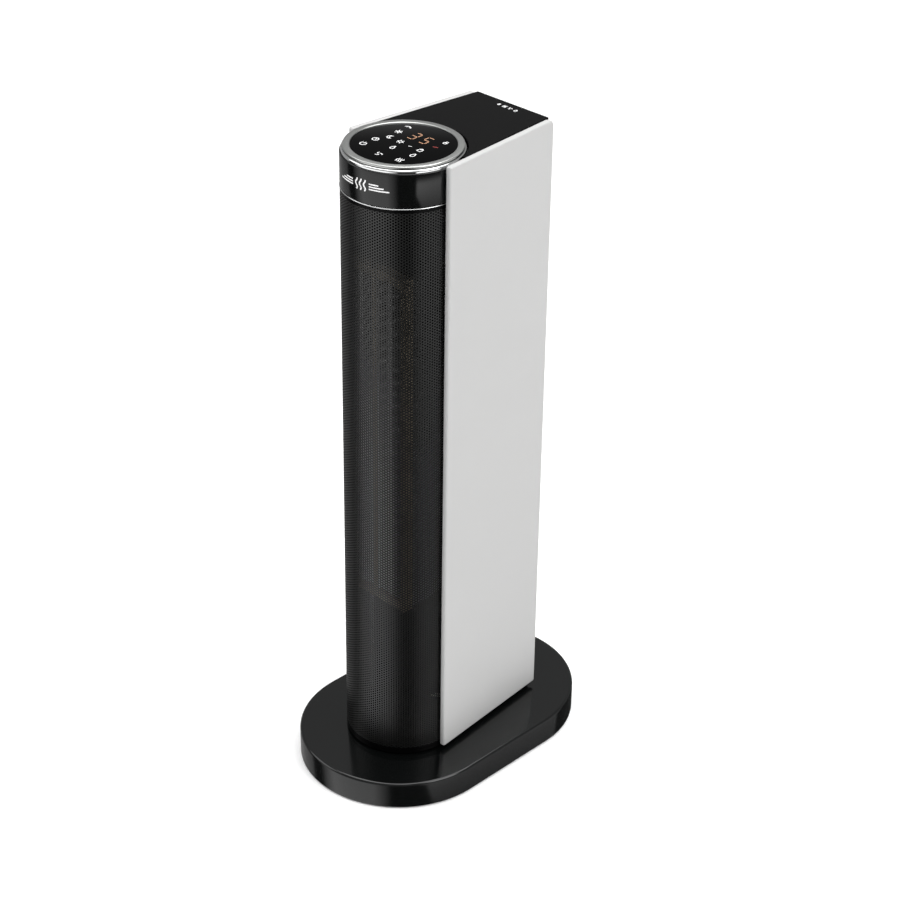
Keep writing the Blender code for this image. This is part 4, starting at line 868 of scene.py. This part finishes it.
@dataclass
class Head:
    """The round control head: gloss band, chrome bezel, touch glass and its marks."""

    bench: Bench
    axis: Vector = field(init=False)
    edge: float = 0.0007
    wall: float = 0.0025
    floor: float = 0.0024
    seal: float = 0.0006
    glass_gap: float = 0.0003
    ledge: float = 0.0023
    flange_round: float = 0.0014
    face_inset: float = 0.0015
    face_round: float = 0.0008
    seal_inset: float = 0.0006
    lip: float = 0.0005
    stroke: float = 0.0008
    icon_size: float = 0.0034
    dash_share: float = 0.45
    digit_height: float = 0.0125
    digit_width: float = 0.0062
    digit_stroke: float = 0.0009
    lamp_reach: Point = (0.0022, 0.0009)
    lamp_stroke: float = 0.0011
    emblem_shift: float = 0.004
    emblem_rise: float = 0.001
    wave_pitch: float = 0.0042
    wave_swing: float = 0.0009
    wave_height: float = 0.0096
    wave_stroke: float = 0.0013
    bar_start: float = 0.0085
    bar_stroke: float = 0.0011

    def build(self) -> None:
        """Make the head and everything on it."""
        self.axis = self.bench.middle("control_head").to_2d()
        self.band()
        self.bezel()
        self.glass()
        self.marks()
        self.emblem()
        self.trim()
        self.bench.dress(BOARD, "control_board")
        self.bench.dress(MATT_BLACK, "display_module")

    def ring(self, name: str, profile: Sequence[Point], finish: Finish, *nodes: str) -> None:
        """Turn a profile about the head's axis and fix it to the tower."""
        self.bench.piece(name, turned(profile, ROUND, self.axis), finish, "tower", *nodes)

    def band(self) -> None:
        """The gloss cup, with softened edges."""
        out, bottom, top = self.bench.drum("control_head")
        profile = [(0.0, bottom), *rounded_foot(out, bottom, self.edge), *rounded_top(out, top, self.edge),
                   (out - self.wall, top), (out - self.wall, bottom + self.floor), (0.0, bottom + self.floor)]
        self.ring("control_band", profile, GLOSS_BLACK, "control_head")

    def bezel(self) -> None:
        """Polished flange below, black seal between, and a brushed face on top."""
        out, bottom, top = self.bench.drum("bezel_ring")
        bore = self.bench.drum("touch_glass")[0] + self.glass_gap
        ledge = bore - self.ledge
        waist = bottom + (top - bottom) * 0.5
        flange = [(ledge, bottom), (out, bottom), *rounded_top(out, waist, self.flange_round, 6),
                  (ledge, waist)]
        self.ring("bezel_flange", flange, CHROME)
        step = out - self.face_inset
        seal_out, seal_low, seal_top = step - self.seal_inset, waist + SKIN, waist + self.seal
        seal = [(bore, seal_low), (seal_out, seal_low), (seal_out, seal_top), (bore, seal_top)]
        self.ring("bezel_seal", seal, GLOSS_BLACK)
        face = [(bore, seal_top + SKIN), (step, seal_top + SKIN), *rounded_top(step, top, self.face_round),
                (bore + self.lip, top), (bore, top - self.lip)]
        brushed = Metal("brushed_bezel_face", "chrome", (0.6, 0.61, 0.595), 0.3, Brush.ROUND, 0.000004,
                        tuple(self.axis))
        self.ring("bezel_face", face, brushed, "bezel_ring")

    def glass(self) -> None:
        """The touch glass, with a ground edge."""
        out, bottom, top = self.bench.drum("touch_glass")
        ground = 0.0002
        profile = [(0.0, bottom), (out - ground, bottom), (out, bottom + ground),
                   *rounded_top(out, top, 0.0005, 4), (0.0, top)]
        self.ring("touch_panel", profile, GLASS, "touch_glass")

    def strokes(self, lines: Iterable[tuple[Sequence[Point], bool]], width: float, height: float
                ) -> list[bmesh.types.BMesh]:
        """Thin raised strokes at a height."""
        return [extruded(ribbon(line, width, closed), height, height + SKIN) for line, closed in lines]

    def marks(self) -> None:
        """Thirteen symbols, two amber digits and a red lamp on the glass."""
        top = self.bench.box("touch_glass")[1].z + SKIN / 2
        layout = [(Icon.POWER, -22.4, -23.5), (Icon.CLOCK, -22.1, -10.1), (Icon.FAN, 1.6, -29.0),
                  (Icon.MOON, -16.9, 1.4), (Icon.SNOW, -20.2, 14.0), (Icon.SWING, -21.6, 25.9),
                  (Icon.SUN, -4.3, 0.5), (Icon.FLAME, 0.1, -12.0), (Icon.DASH, 8.0, -0.7),
                  (Icon.LOCK, 19.5, 0.3), (Icon.DROP, 22.7, -11.7), (Icon.WAVES, 21.9, -26.1),
                  (Icon.PLUG, 23.1, 24.3)]
        parts = []
        for icon, x, y in layout:
            size = self.icon_size * (self.dash_share if icon is Icon.DASH else 1.0)
            place = self.axis + Vector((x, y)) * MM
            lines = [([tuple(place + Vector(p) * size) for p in line], closed)
                     for line, closed in icon_strokes(icon)]
            parts += self.strokes(lines, self.stroke, top)
        self.bench.piece("touch_marks", gathered(parts), INK_WITH_PAINTED_GLOW, "tower")
        parts = []
        for segments, x in (("abcdg", -7.5), ("acdfg", 6.0)):
            parts += self.digit(segments, self.axis + Vector((x, 10.6)) * MM, top)
        self.bench.piece("display_digits", gathered(parts), AMBER, "tower")
        lamp, reach = self.axis + Vector((23.4, 12.6)) * MM, Vector(self.lamp_reach)
        lines = [([tuple(lamp - reach), tuple(lamp + reach)], False)]
        self.bench.piece("heat_lamp", gathered(self.strokes(lines, self.lamp_stroke, top)), RED_LAMP, "tower")

    def digit(self, segments: str, corner: Vector, height: float) -> list[bmesh.types.BMesh]:
        """A seven-segment digit from its lower left corner, one stroke for each lit segment of a to g."""
        wide, tall, gap = self.digit_width, self.digit_height, self.digit_stroke * 0.7
        half = tall / 2
        ends = {"a": ((gap, tall), (wide - gap, tall)), "b": ((wide, tall - gap), (wide, half + gap)),
                "c": ((wide, half - gap), (wide, gap)), "d": ((gap, 0.0), (wide - gap, 0.0)),
                "e": ((0.0, gap), (0.0, half - gap)), "f": ((0.0, half + gap), (0.0, tall - gap)),
                "g": ((gap, half), (wide - gap, half))}
        lines = [([tuple(corner + Vector(end)) for end in ends[letter]], False) for letter in segments]
        return self.strokes(lines, self.digit_stroke, height)

    def emblem(self) -> None:
        """A plain warm-air mark on the band's front: three waves between two bars."""
        out, bottom, top = self.bench.drum("control_head")
        middle = (bottom + top) / 2 + self.emblem_rise
        parts = []
        for side in (-1, 0, 1):
            middle_x = self.emblem_shift + side * self.wave_pitch
            wave = [(middle_x + self.wave_swing * math.sin(2 * math.pi * n / 12),
                     self.wave_height * (n / 16 - 0.5)) for n in range(17)]
            parts.append(ribbon(wave, self.wave_stroke))
        for side in (-1, 1):
            for level, reach in ((-0.0022, 0.026), (0.0, 0.0215), (0.0022, 0.017)):
                start, end = self.emblem_shift + side * self.bar_start, self.emblem_shift + side * reach
                bar = [(start + (end - start) * n / 8, level) for n in range(9)]
                parts.append(ribbon(bar, self.bar_stroke))
        upright = Matrix.Rotation(math.radians(90), 4, "X")
        meshes = [shifted(extruded(outline, -SKIN, 0.0), (0, 0, middle), upright) for outline in parts]
        mark = bent(gathered(meshes), out + SKIN / 2, tuple(self.axis))
        self.bench.piece("warm_air_mark", mark, INK_WITH_PAINTED_GLOW, "tower")

    def trim(self) -> None:
        """The thin chrome line under the band."""
        out, bottom, top = self.bench.drum("trim_ring")
        radius = (top - bottom) * 0.45
        inside = out - 0.003
        profile = [(inside, bottom), *rounded_foot(out, bottom, radius), *rounded_top(out, top, radius),
                   (inside, top)]
        self.ring("chrome_trim", profile, CHROME, "trim_ring")


# ---------------------------------------------------------------- tower

@dataclass
class Tower:
    """The column's perforated front, the side panels, the top plate and the rear."""

    bench: Bench
    pitch: float = 0.0022
    row_rise: float = 0.00254
    hole: float = 0.0009
    sheet: float = 0.0008
    rim: float = 0.0026
    sections: int = 4
    half_turn: float = math.radians(99.0)
    rim_depth: float = 0.0014
    head_gap: float = 0.0003
    mark_start: Point = (-0.0075, 0.0725)
    mark_pitch: float = 0.0065
    mark_size: float = 0.0021
    mark_stroke: float = 0.0007
    filter_rim: float = 0.0035
    mullion_inset: float = 0.0004
    louvre_pitch: float = 0.0052
    louvre_half: Point = (0.0016, 0.0005)
    louvre_lean: float = math.radians(-38)

    def build(self) -> None:
        """Make the tower's outside."""
        self.grille()
        self.top_plate()
        self.rear()
        self.swivel()
        bench = self.bench
        for side in ("left", "right"):
            bench.refined(f"side_panel_{side}", WHITE_PANEL, "tower")
            bench.refined(f"chassis_wall_{side}", MATT_BLACK, "tower")
        bench.refined("tower_plinth", MATT_BLACK, "tower")
        bench.refined("foot_ring", SATIN_BLACK, "tower")

    def tile(self, rise: float) -> bmesh.types.BMesh:
        """One cell of the sheet: a six-sided hole in a block whose seams meet the next column's."""
        mesh = bmesh.new()
        wide, tall = self.pitch / 2, rise / 2
        outer = [(wide, tall), (-wide, tall), (-wide, 0.0), (-wide, -tall), (wide, -tall), (wide, 0.0)]
        inner = [(self.hole * math.cos(a), self.hole * math.sin(a))
                 for a in (math.radians(60 + 60 * n) for n in range(6))]
        rims = [[mesh.verts.new((x, y, 0.0)) for x, y in loop] for loop in (outer, inner)]
        for n in range(6):
            mesh.faces.new((rims[0][n - 1], rims[0][n], rims[1][n], rims[1][n - 1]))
        for face in mesh.faces:
            face.normal_update()
            if face.normal.z < 0:
                face.normal_flip()
        return mesh

    def grille(self) -> None:
        """The perforated sheet in storeys that meet edge to edge, between two plain rims."""
        bench = self.bench
        low, high = bench.box("front_grille")
        axis = bench.middle("control_head")
        radius = axis.y - low.y - SKIN
        columns = int(2 * self.half_turn * radius / self.pitch)
        share = int(((high.z - low.z) / self.row_rise - 0.5) / self.sections)
        rise = (high.z - low.z) / (share * self.sections + 0.5)
        for number in range(self.sections):
            values = {"Columns": columns, "Rows": share, "Pitch": self.pitch, "Row rise": rise,
                      "Radius": radius, "Bottom": low.z + number * share * rise, "Axis y": axis.y,
                      "Thickness": self.sheet}
            nodes = ("front_grille",) if number == 0 else ()
            bench.repeated(bench.sheet, f"front_grille_{number + 1}", self.tile(rise), values, GRILLE_BLACK,
                           "tower", *nodes)
        start, end = -math.pi / 2 - self.half_turn, -math.pi / 2 + self.half_turn
        centre = (axis.x, axis.y)
        rim = arc(radius + SKIN, start, end, centre, 97)
        rim += arc(radius - self.rim_depth, end, start, centre, 97)
        rims = [extruded(rim, low.z, low.z + self.rim), extruded(rim, high.z - self.rim, high.z)]
        bench.piece("grille_rims", gathered(rims), SATIN_BLACK, "tower")

    def top_plate(self) -> None:
        """The satin plate behind the bezel, with four printed marks near its rear edge."""
        bench = self.bench
        low, high = bench.box("top_plate")
        axis = bench.middle("control_head")
        clear = bench.drum("control_head")[0] + self.head_gap
        rear_half = max(v.co.x for v in bench.nodes["top_plate"].data.vertices if v.co.y > high.y - 0.001)
        meet = math.asin((low.y - axis.y) / clear)
        hollow = arc(clear, math.pi - meet, meet, (axis.x, axis.y), 72)
        outline = hollow + [(high.x, low.y), (rear_half, high.y), (-rear_half, high.y), (-high.x, low.y)]
        plate = bench.piece("top_cover", extruded(outline, low.z, high.z), SATIN_BLACK, "tower", "top_plate")
        modifier = plate.modifiers.new("soft_edge", "BEVEL")
        modifier.width = 0.0004
        modifier.segments = 2
        modifier.limit_method = "ANGLE"
        modifier.angle_limit = math.radians(40)
        parts = []
        for n, icon in enumerate((Icon.PLUG, Icon.WAVES, Icon.FAN, Icon.LOCK)):
            place = Vector(self.mark_start) + Vector((self.mark_pitch * n, 0.0))
            for line, closed in icon_strokes(icon):
                points = [tuple(place + Vector(p) * self.mark_size) for p in line]
                parts.append(extruded(ribbon(points, self.mark_stroke, closed), high.z + SKIN / 2,
                                      high.z + SKIN * 1.5))
        bench.piece("rear_marks", gathered(parts), INK_WITH_PAINTED_GLOW, "tower")

    def rear(self) -> None:
        """Rear cover, louvred filter frame, net, switch and screws."""
        bench = self.bench
        bench.refined("rear_cover", MATT_BLACK, "tower")
        bench.dress(FILTER_NET, "filter_screen")
        bench.refined("rocker_housing", MATT_BLACK, "tower")
        bench.refined("power_rocker", ROCKER_BLACK, "rocker")
        low, high = bench.box("filter_frame")
        rim, inset, pitch = self.filter_rim, self.mullion_inset, self.louvre_pitch
        left, right, bottom, top = low.x + rim, high.x - rim, low.z + rim, high.z - rim
        bars = [boxed(low, (left, high.y, high.z)), boxed((right, low.y, low.z), high),
                boxed((left, low.y, low.z), (right, high.y, bottom)),
                boxed((left, low.y, top), (right, high.y, high.z)),
                boxed((-rim / 2, low.y + inset, bottom), (rim / 2, high.y - inset, top))]
        bench.piece("filter_rim", gathered(bars), MATT_BLACK, "filter", "filter_frame")
        deep, thick = self.louvre_half
        slat = shifted(boxed((left, -deep, -thick), (right, deep, thick)), (0, 0, 0),
                       Matrix.Rotation(self.louvre_lean, 4, "X"))
        values = {"Count": int((high.z - low.z - 2 * rim) / pitch) - 1, "Step": (0.0, 0.0, pitch),
                  "Start": (0.0, (low.y + high.y) / 2, bottom + pitch)}
        bench.repeated(bench.row, "filter_louvres", slat, values, MATT_BLACK, "filter")
        bench.screws("rear_screw", 4, DARK_STEEL, "tower", forwards=True)

    def swivel(self) -> None:
        """Hub, toothed sector and their screws."""
        self.bench.dress(NYLON, "swivel_hub", "drive_sector")
        self.bench.screws("hub_screw", 3, STEEL, "tower")


# ---------------------------------------------------------------- inside

@dataclass
class WarmAir:
    """Heater, fan, duct and electrics."""

    bench: Bench
    fin_pitch: float = 0.0021
    fin: float = 0.0004
    rail: float = 0.0012
    core: float = 0.0026
    core_inset: float = 0.0006
    fin_inset: float = 0.0002
    blades: int = 30
    storeys: int = 3
    storey_twist: float = 0.07
    disc: float = 0.002
    bore: float = 0.0033
    blade: float = 0.0005
    blade_round: float = 0.0058
    blade_offset: Point = (0.0012, 0.0030)
    blade_inset: float = 0.0006

    def build(self) -> None:
        """Make the fins and the fan, and dress the rest."""
        bench = self.bench
        self.elements()
        self.impeller()
        bench.refined("heater_frame", MICA, "tower")
        bench.dress(GALVANISED, "duct_scroll", "duct_tongue")
        bench.dress(MATT_BLACK, "duct_floor", "duct_ceiling")
        bench.dress(STEEL, "impeller_shaft")
        bench.dress(DARK_STEEL, "fan_motor")
        bench.dress(BRONZE, "thermal_cutoff", "upper_bearing")
        bench.dress(BOARD, "power_board")

    def elements(self) -> None:
        """Two ceramic elements: side rails and a core, with close fins across them."""
        bench = self.bench
        half = self.fin / 2
        for number in (1, 2):
            node = f"ceramic_element_{number}"
            low, high = bench.box(node)
            middle = (low.x + high.x) / 2
            gaps = ((low.x + self.rail, middle - self.core), (middle + self.core, high.x - self.rail))
            front, back = low.y + self.core_inset, high.y - self.core_inset
            bars = [boxed(low, (gaps[0][0], high.y, high.z)), boxed((gaps[1][1], low.y, low.z), high),
                    boxed((gaps[0][1], front, low.z), (gaps[1][0], back, high.z))]
            bench.piece(f"element_core_{number}", gathered(bars), ALUMINIUM, "tower", node)
            fins = [boxed((start, low.y + self.fin_inset, -half), (end, high.y - self.fin_inset, half))
                    for start, end in gaps]
            values = {"Count": int((high.z - low.z) / self.fin_pitch) - 1, "Step": (0.0, 0.0, self.fin_pitch),
                      "Start": (0.0, 0.0, low.z + self.fin_pitch)}
            bench.repeated(bench.row, f"element_fins_{number}", gathered(fins), values, ALUMINIUM, "tower")

    def impeller(self) -> None:
        """Cross-flow wheel: four discs and three storeys of curved blades."""
        bench = self.bench
        low, high = bench.box("impeller")
        axis = (low + high) / 2
        radius = (high.x - low.x) / 2
        rise = (high.z - low.z - self.disc) / self.storeys
        discs = []
        for level in (low.z + n * rise for n in range(self.storeys + 1)):
            top = level + self.disc
            profile = [(self.bore, level), (radius, level), (radius, top), (self.bore, top)]
            discs.append(turned(profile, 64, (axis.x, axis.y)))
        bench.piece("impeller_discs", gathered(discs), ALUMINIUM, "impeller", "impeller")
        centre = (radius - self.blade_offset[0], -self.blade_offset[1])
        sweep = arc(self.blade_round, math.radians(100), math.radians(200), centre, 7)
        curve = [point for point in sweep if math.hypot(*point) < radius - self.blade_inset]
        values = {"Count": self.blades, "Storeys": self.storeys, "Storey rise": rise,
                  "Storey twist": self.storey_twist, "Place": (axis.x, axis.y, low.z)}
        bench.repeated(bench.ring, "impeller_blades", extruded(ribbon(curve, self.blade), self.disc, rise),
                       values, ALUMINIUM, "impeller")


# ---------------------------------------------------------------- studio

def ramp(value: Signal, width: float) -> Signal:
    """A value that climbs from 0 to 1 over a width."""
    math_node = value.graph.math
    return math_node("MINIMUM", math_node("MAXIMUM", value / width, 0.0), 1.0)


@dataclass(frozen=True)
class Card:
    """A bright card of the surround.

    Its ends are angles in degrees round from the camera, and its edges are heights on the unit sphere.
    """

    ends: Point
    edges: Point
    soft_end: float
    soft_edge: float
    power: float = 1.0

    def light(self, angle: Signal, height: Signal, lean: Signal | float = 0.0) -> Signal:
        """Its brightness at an angle and a height; lean moves its first end."""
        start, end = (math.radians(degrees) for degrees in self.ends)
        around = ramp(angle - (lean + start), self.soft_end) * ramp(end - angle, self.soft_end)
        upright = ramp(height - self.edges[0], self.soft_edge) * ramp(self.edges[1] - height, self.soft_edge)
        return around * upright * self.power


LEFT_CARD = Card((-98.0, -8.0), (-1.0, -0.1), 0.35, 0.15, 1.25)
RIGHT_CARD = Card((22.3454, 112.0), (-0.74, -0.26), 0.06, 0.06)
FAR_CARD = Card((-181.0, -112.0), (-1.0, -0.1), 0.1, 0.15, 0.3)


@dataclass
class Studio:
    """Plain pale floor, soft light and the camera."""

    azimuth: float = math.radians(44.34)
    elevation: float = math.radians(30.21)
    roll: float = math.radians(0.73)
    distance: float = 2.024
    lens: float = 92.0
    aim: tuple[float, float] = (0.00802, -0.00154)
    aim_height: float = 0.3
    light_aim: float = 0.25
    floor_radius: float = 14.0
    floor_glow: float = 0.12
    lean_from: float = -0.45
    lean: float = 1.6
    right_dark: float = -0.7
    right_climb: float = 4.6
    right_least: float = 0.3
    right_near: float = 1.25
    right_fall: float = 0.45
    sky_edge: float = -0.12
    sky_soft: float = 0.04
    sky_climb: float = 0.56
    horizon: float = 0.46
    horizon_fall: float = 0.8
    ambient: float = 0.04

    def build(self) -> None:
        """Make the camera, the floor and the lights."""
        self.camera()
        self.floor()
        self.world()
        self.lights()

    def camera(self) -> None:
        """A long lens from the front right, looking down."""
        ca, sa = math.cos(self.azimuth), math.sin(self.azimuth)
        ce, se = math.cos(self.elevation), math.sin(self.elevation)
        back = Vector((sa * ce, -ca * ce, se))
        right = Vector((ca, sa, 0.0))
        up = back.cross(right)
        cr, sr = math.cos(self.roll), math.sin(self.roll)
        right, up = cr * right + sr * up, cr * up - sr * right
        target = Vector((0.0, 0.0, self.aim_height)) + right * self.aim[0] + up * self.aim[1]
        data = bpy.data.cameras.new("camera")
        data.lens = self.lens
        data.sensor_width = 36.0
        data.clip_end = 50.0
        item = bpy.data.objects.new("camera", data)
        turn = Matrix((right, up, back)).transposed().to_4x4()
        item.matrix_world = Matrix.Translation(target + back * self.distance) @ turn
        bpy.context.scene.collection.objects.link(item)
        bpy.context.scene.camera = item

    def floor(self) -> None:
        """A wide, nearly white floor."""
        mesh = bmesh.new()
        bmesh.ops.create_circle(mesh, cap_ends=True, radius=self.floor_radius, segments=96)
        data = bpy.data.meshes.new("floor")
        mesh.to_mesh(data)
        mesh.free()
        item = bpy.data.objects.new("floor", data)
        bpy.context.scene.collection.objects.link(item)
        art = Shading("floor_paper")
        cloud = art.noise(art.place(), 2.0, 2.0)
        paper = art.blend(cloud, (0.93, 0.93, 0.93), (0.95, 0.95, 0.95))
        art.set(Base_Color=paper, Roughness=0.9 + 0.05 * cloud)
        art.shader.inputs["Specular IOR Level"].default_value = 0.0
        art.shader.inputs["Emission Color"].default_value = (1.0, 1.0, 1.0, 1.0)
        art.shader.inputs["Emission Strength"].default_value = self.floor_glow
        data.materials.append(art.material)
        item.visible_glossy = False

    def world(self) -> None:
        """A pale surround, dark behind the camera and bright to both sides of it."""
        world = bpy.data.worlds.new("surround")
        world.use_nodes = True
        bpy.context.scene.world = world
        graph = Graph(world.node_tree)
        shade = world.node_tree.nodes["Background"]
        x, y, z = graph.split(Signal(graph, graph.node("ShaderNodeTexCoord").outputs["Generated"]))
        ca, sa = math.cos(self.azimuth), math.sin(self.azimuth)
        angle = graph.math("ARCTAN2", x * ca + y * sa, x * sa - y * ca)
        lean = graph.math("MAXIMUM", self.lean_from - z, 0.0) * self.lean
        climb = graph.math("MAXIMUM", (z - self.right_dark) * self.right_climb, self.right_least)
        right = RIGHT_CARD.light(angle, z, lean) * climb * (self.right_near - self.right_fall * angle)
        sky = graph.math("MAXIMUM", z * self.sky_climb, self.horizon - z * self.horizon_fall)
        above = ramp(z - self.sky_edge, self.sky_soft) * sky
        left, far = LEFT_CARD.light(angle, z), FAR_CARD.light(angle, z)
        graph.feed(shade.inputs["Strength"], left + right + far + above + self.ambient)
        shade.inputs["Color"].default_value = (1.0, 1.0, 1.0, 1.0)

    def lights(self) -> None:
        """A soft key from the upper right, a fill from the front left and a top light."""
        self.softbox("key", (2.4, 0.2, 2.0), 1.6, 34.0)
        self.softbox("fill", (-2.0, -1.8, 1.6), 1.8, 20.0)
        self.softbox("top", (0.0, 0.3, 3.2), 3.6, 112.0)
        scene = bpy.context.scene
        scene.view_settings.view_transform = "Standard"
        scene.view_settings.look = "None"

    def softbox(self, name: str, place: Spot, size: float, power: float) -> None:
        """A square area light that looks at the tower's middle."""
        data = bpy.data.lights.new(name, "AREA")
        data.shape = "SQUARE"
        data.size = size
        data.energy = power
        item = bpy.data.objects.new(name, data)
        item.location = place
        gaze = Vector((0.0, 0.0, self.light_aim)) - Vector(place)
        item.rotation_euler = gaze.to_track_quat("-Z", "Y").to_euler()
        bpy.context.scene.collection.objects.link(item)


def main() -> None:
    """Load the frame and build every sub-assembly on it, logging each piece as it is made."""
    logging.basicConfig(level=logging.INFO, format="%(name)s: %(message)s")
    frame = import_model()
    Studio().build()
    bench = Bench(frame)
    Base(bench).build()
    Tower(bench).build()
    Head(bench).build()
    WarmAir(bench).build()
    bpy.context.view_layer.update()


if __name__ == "__main__":
    main()
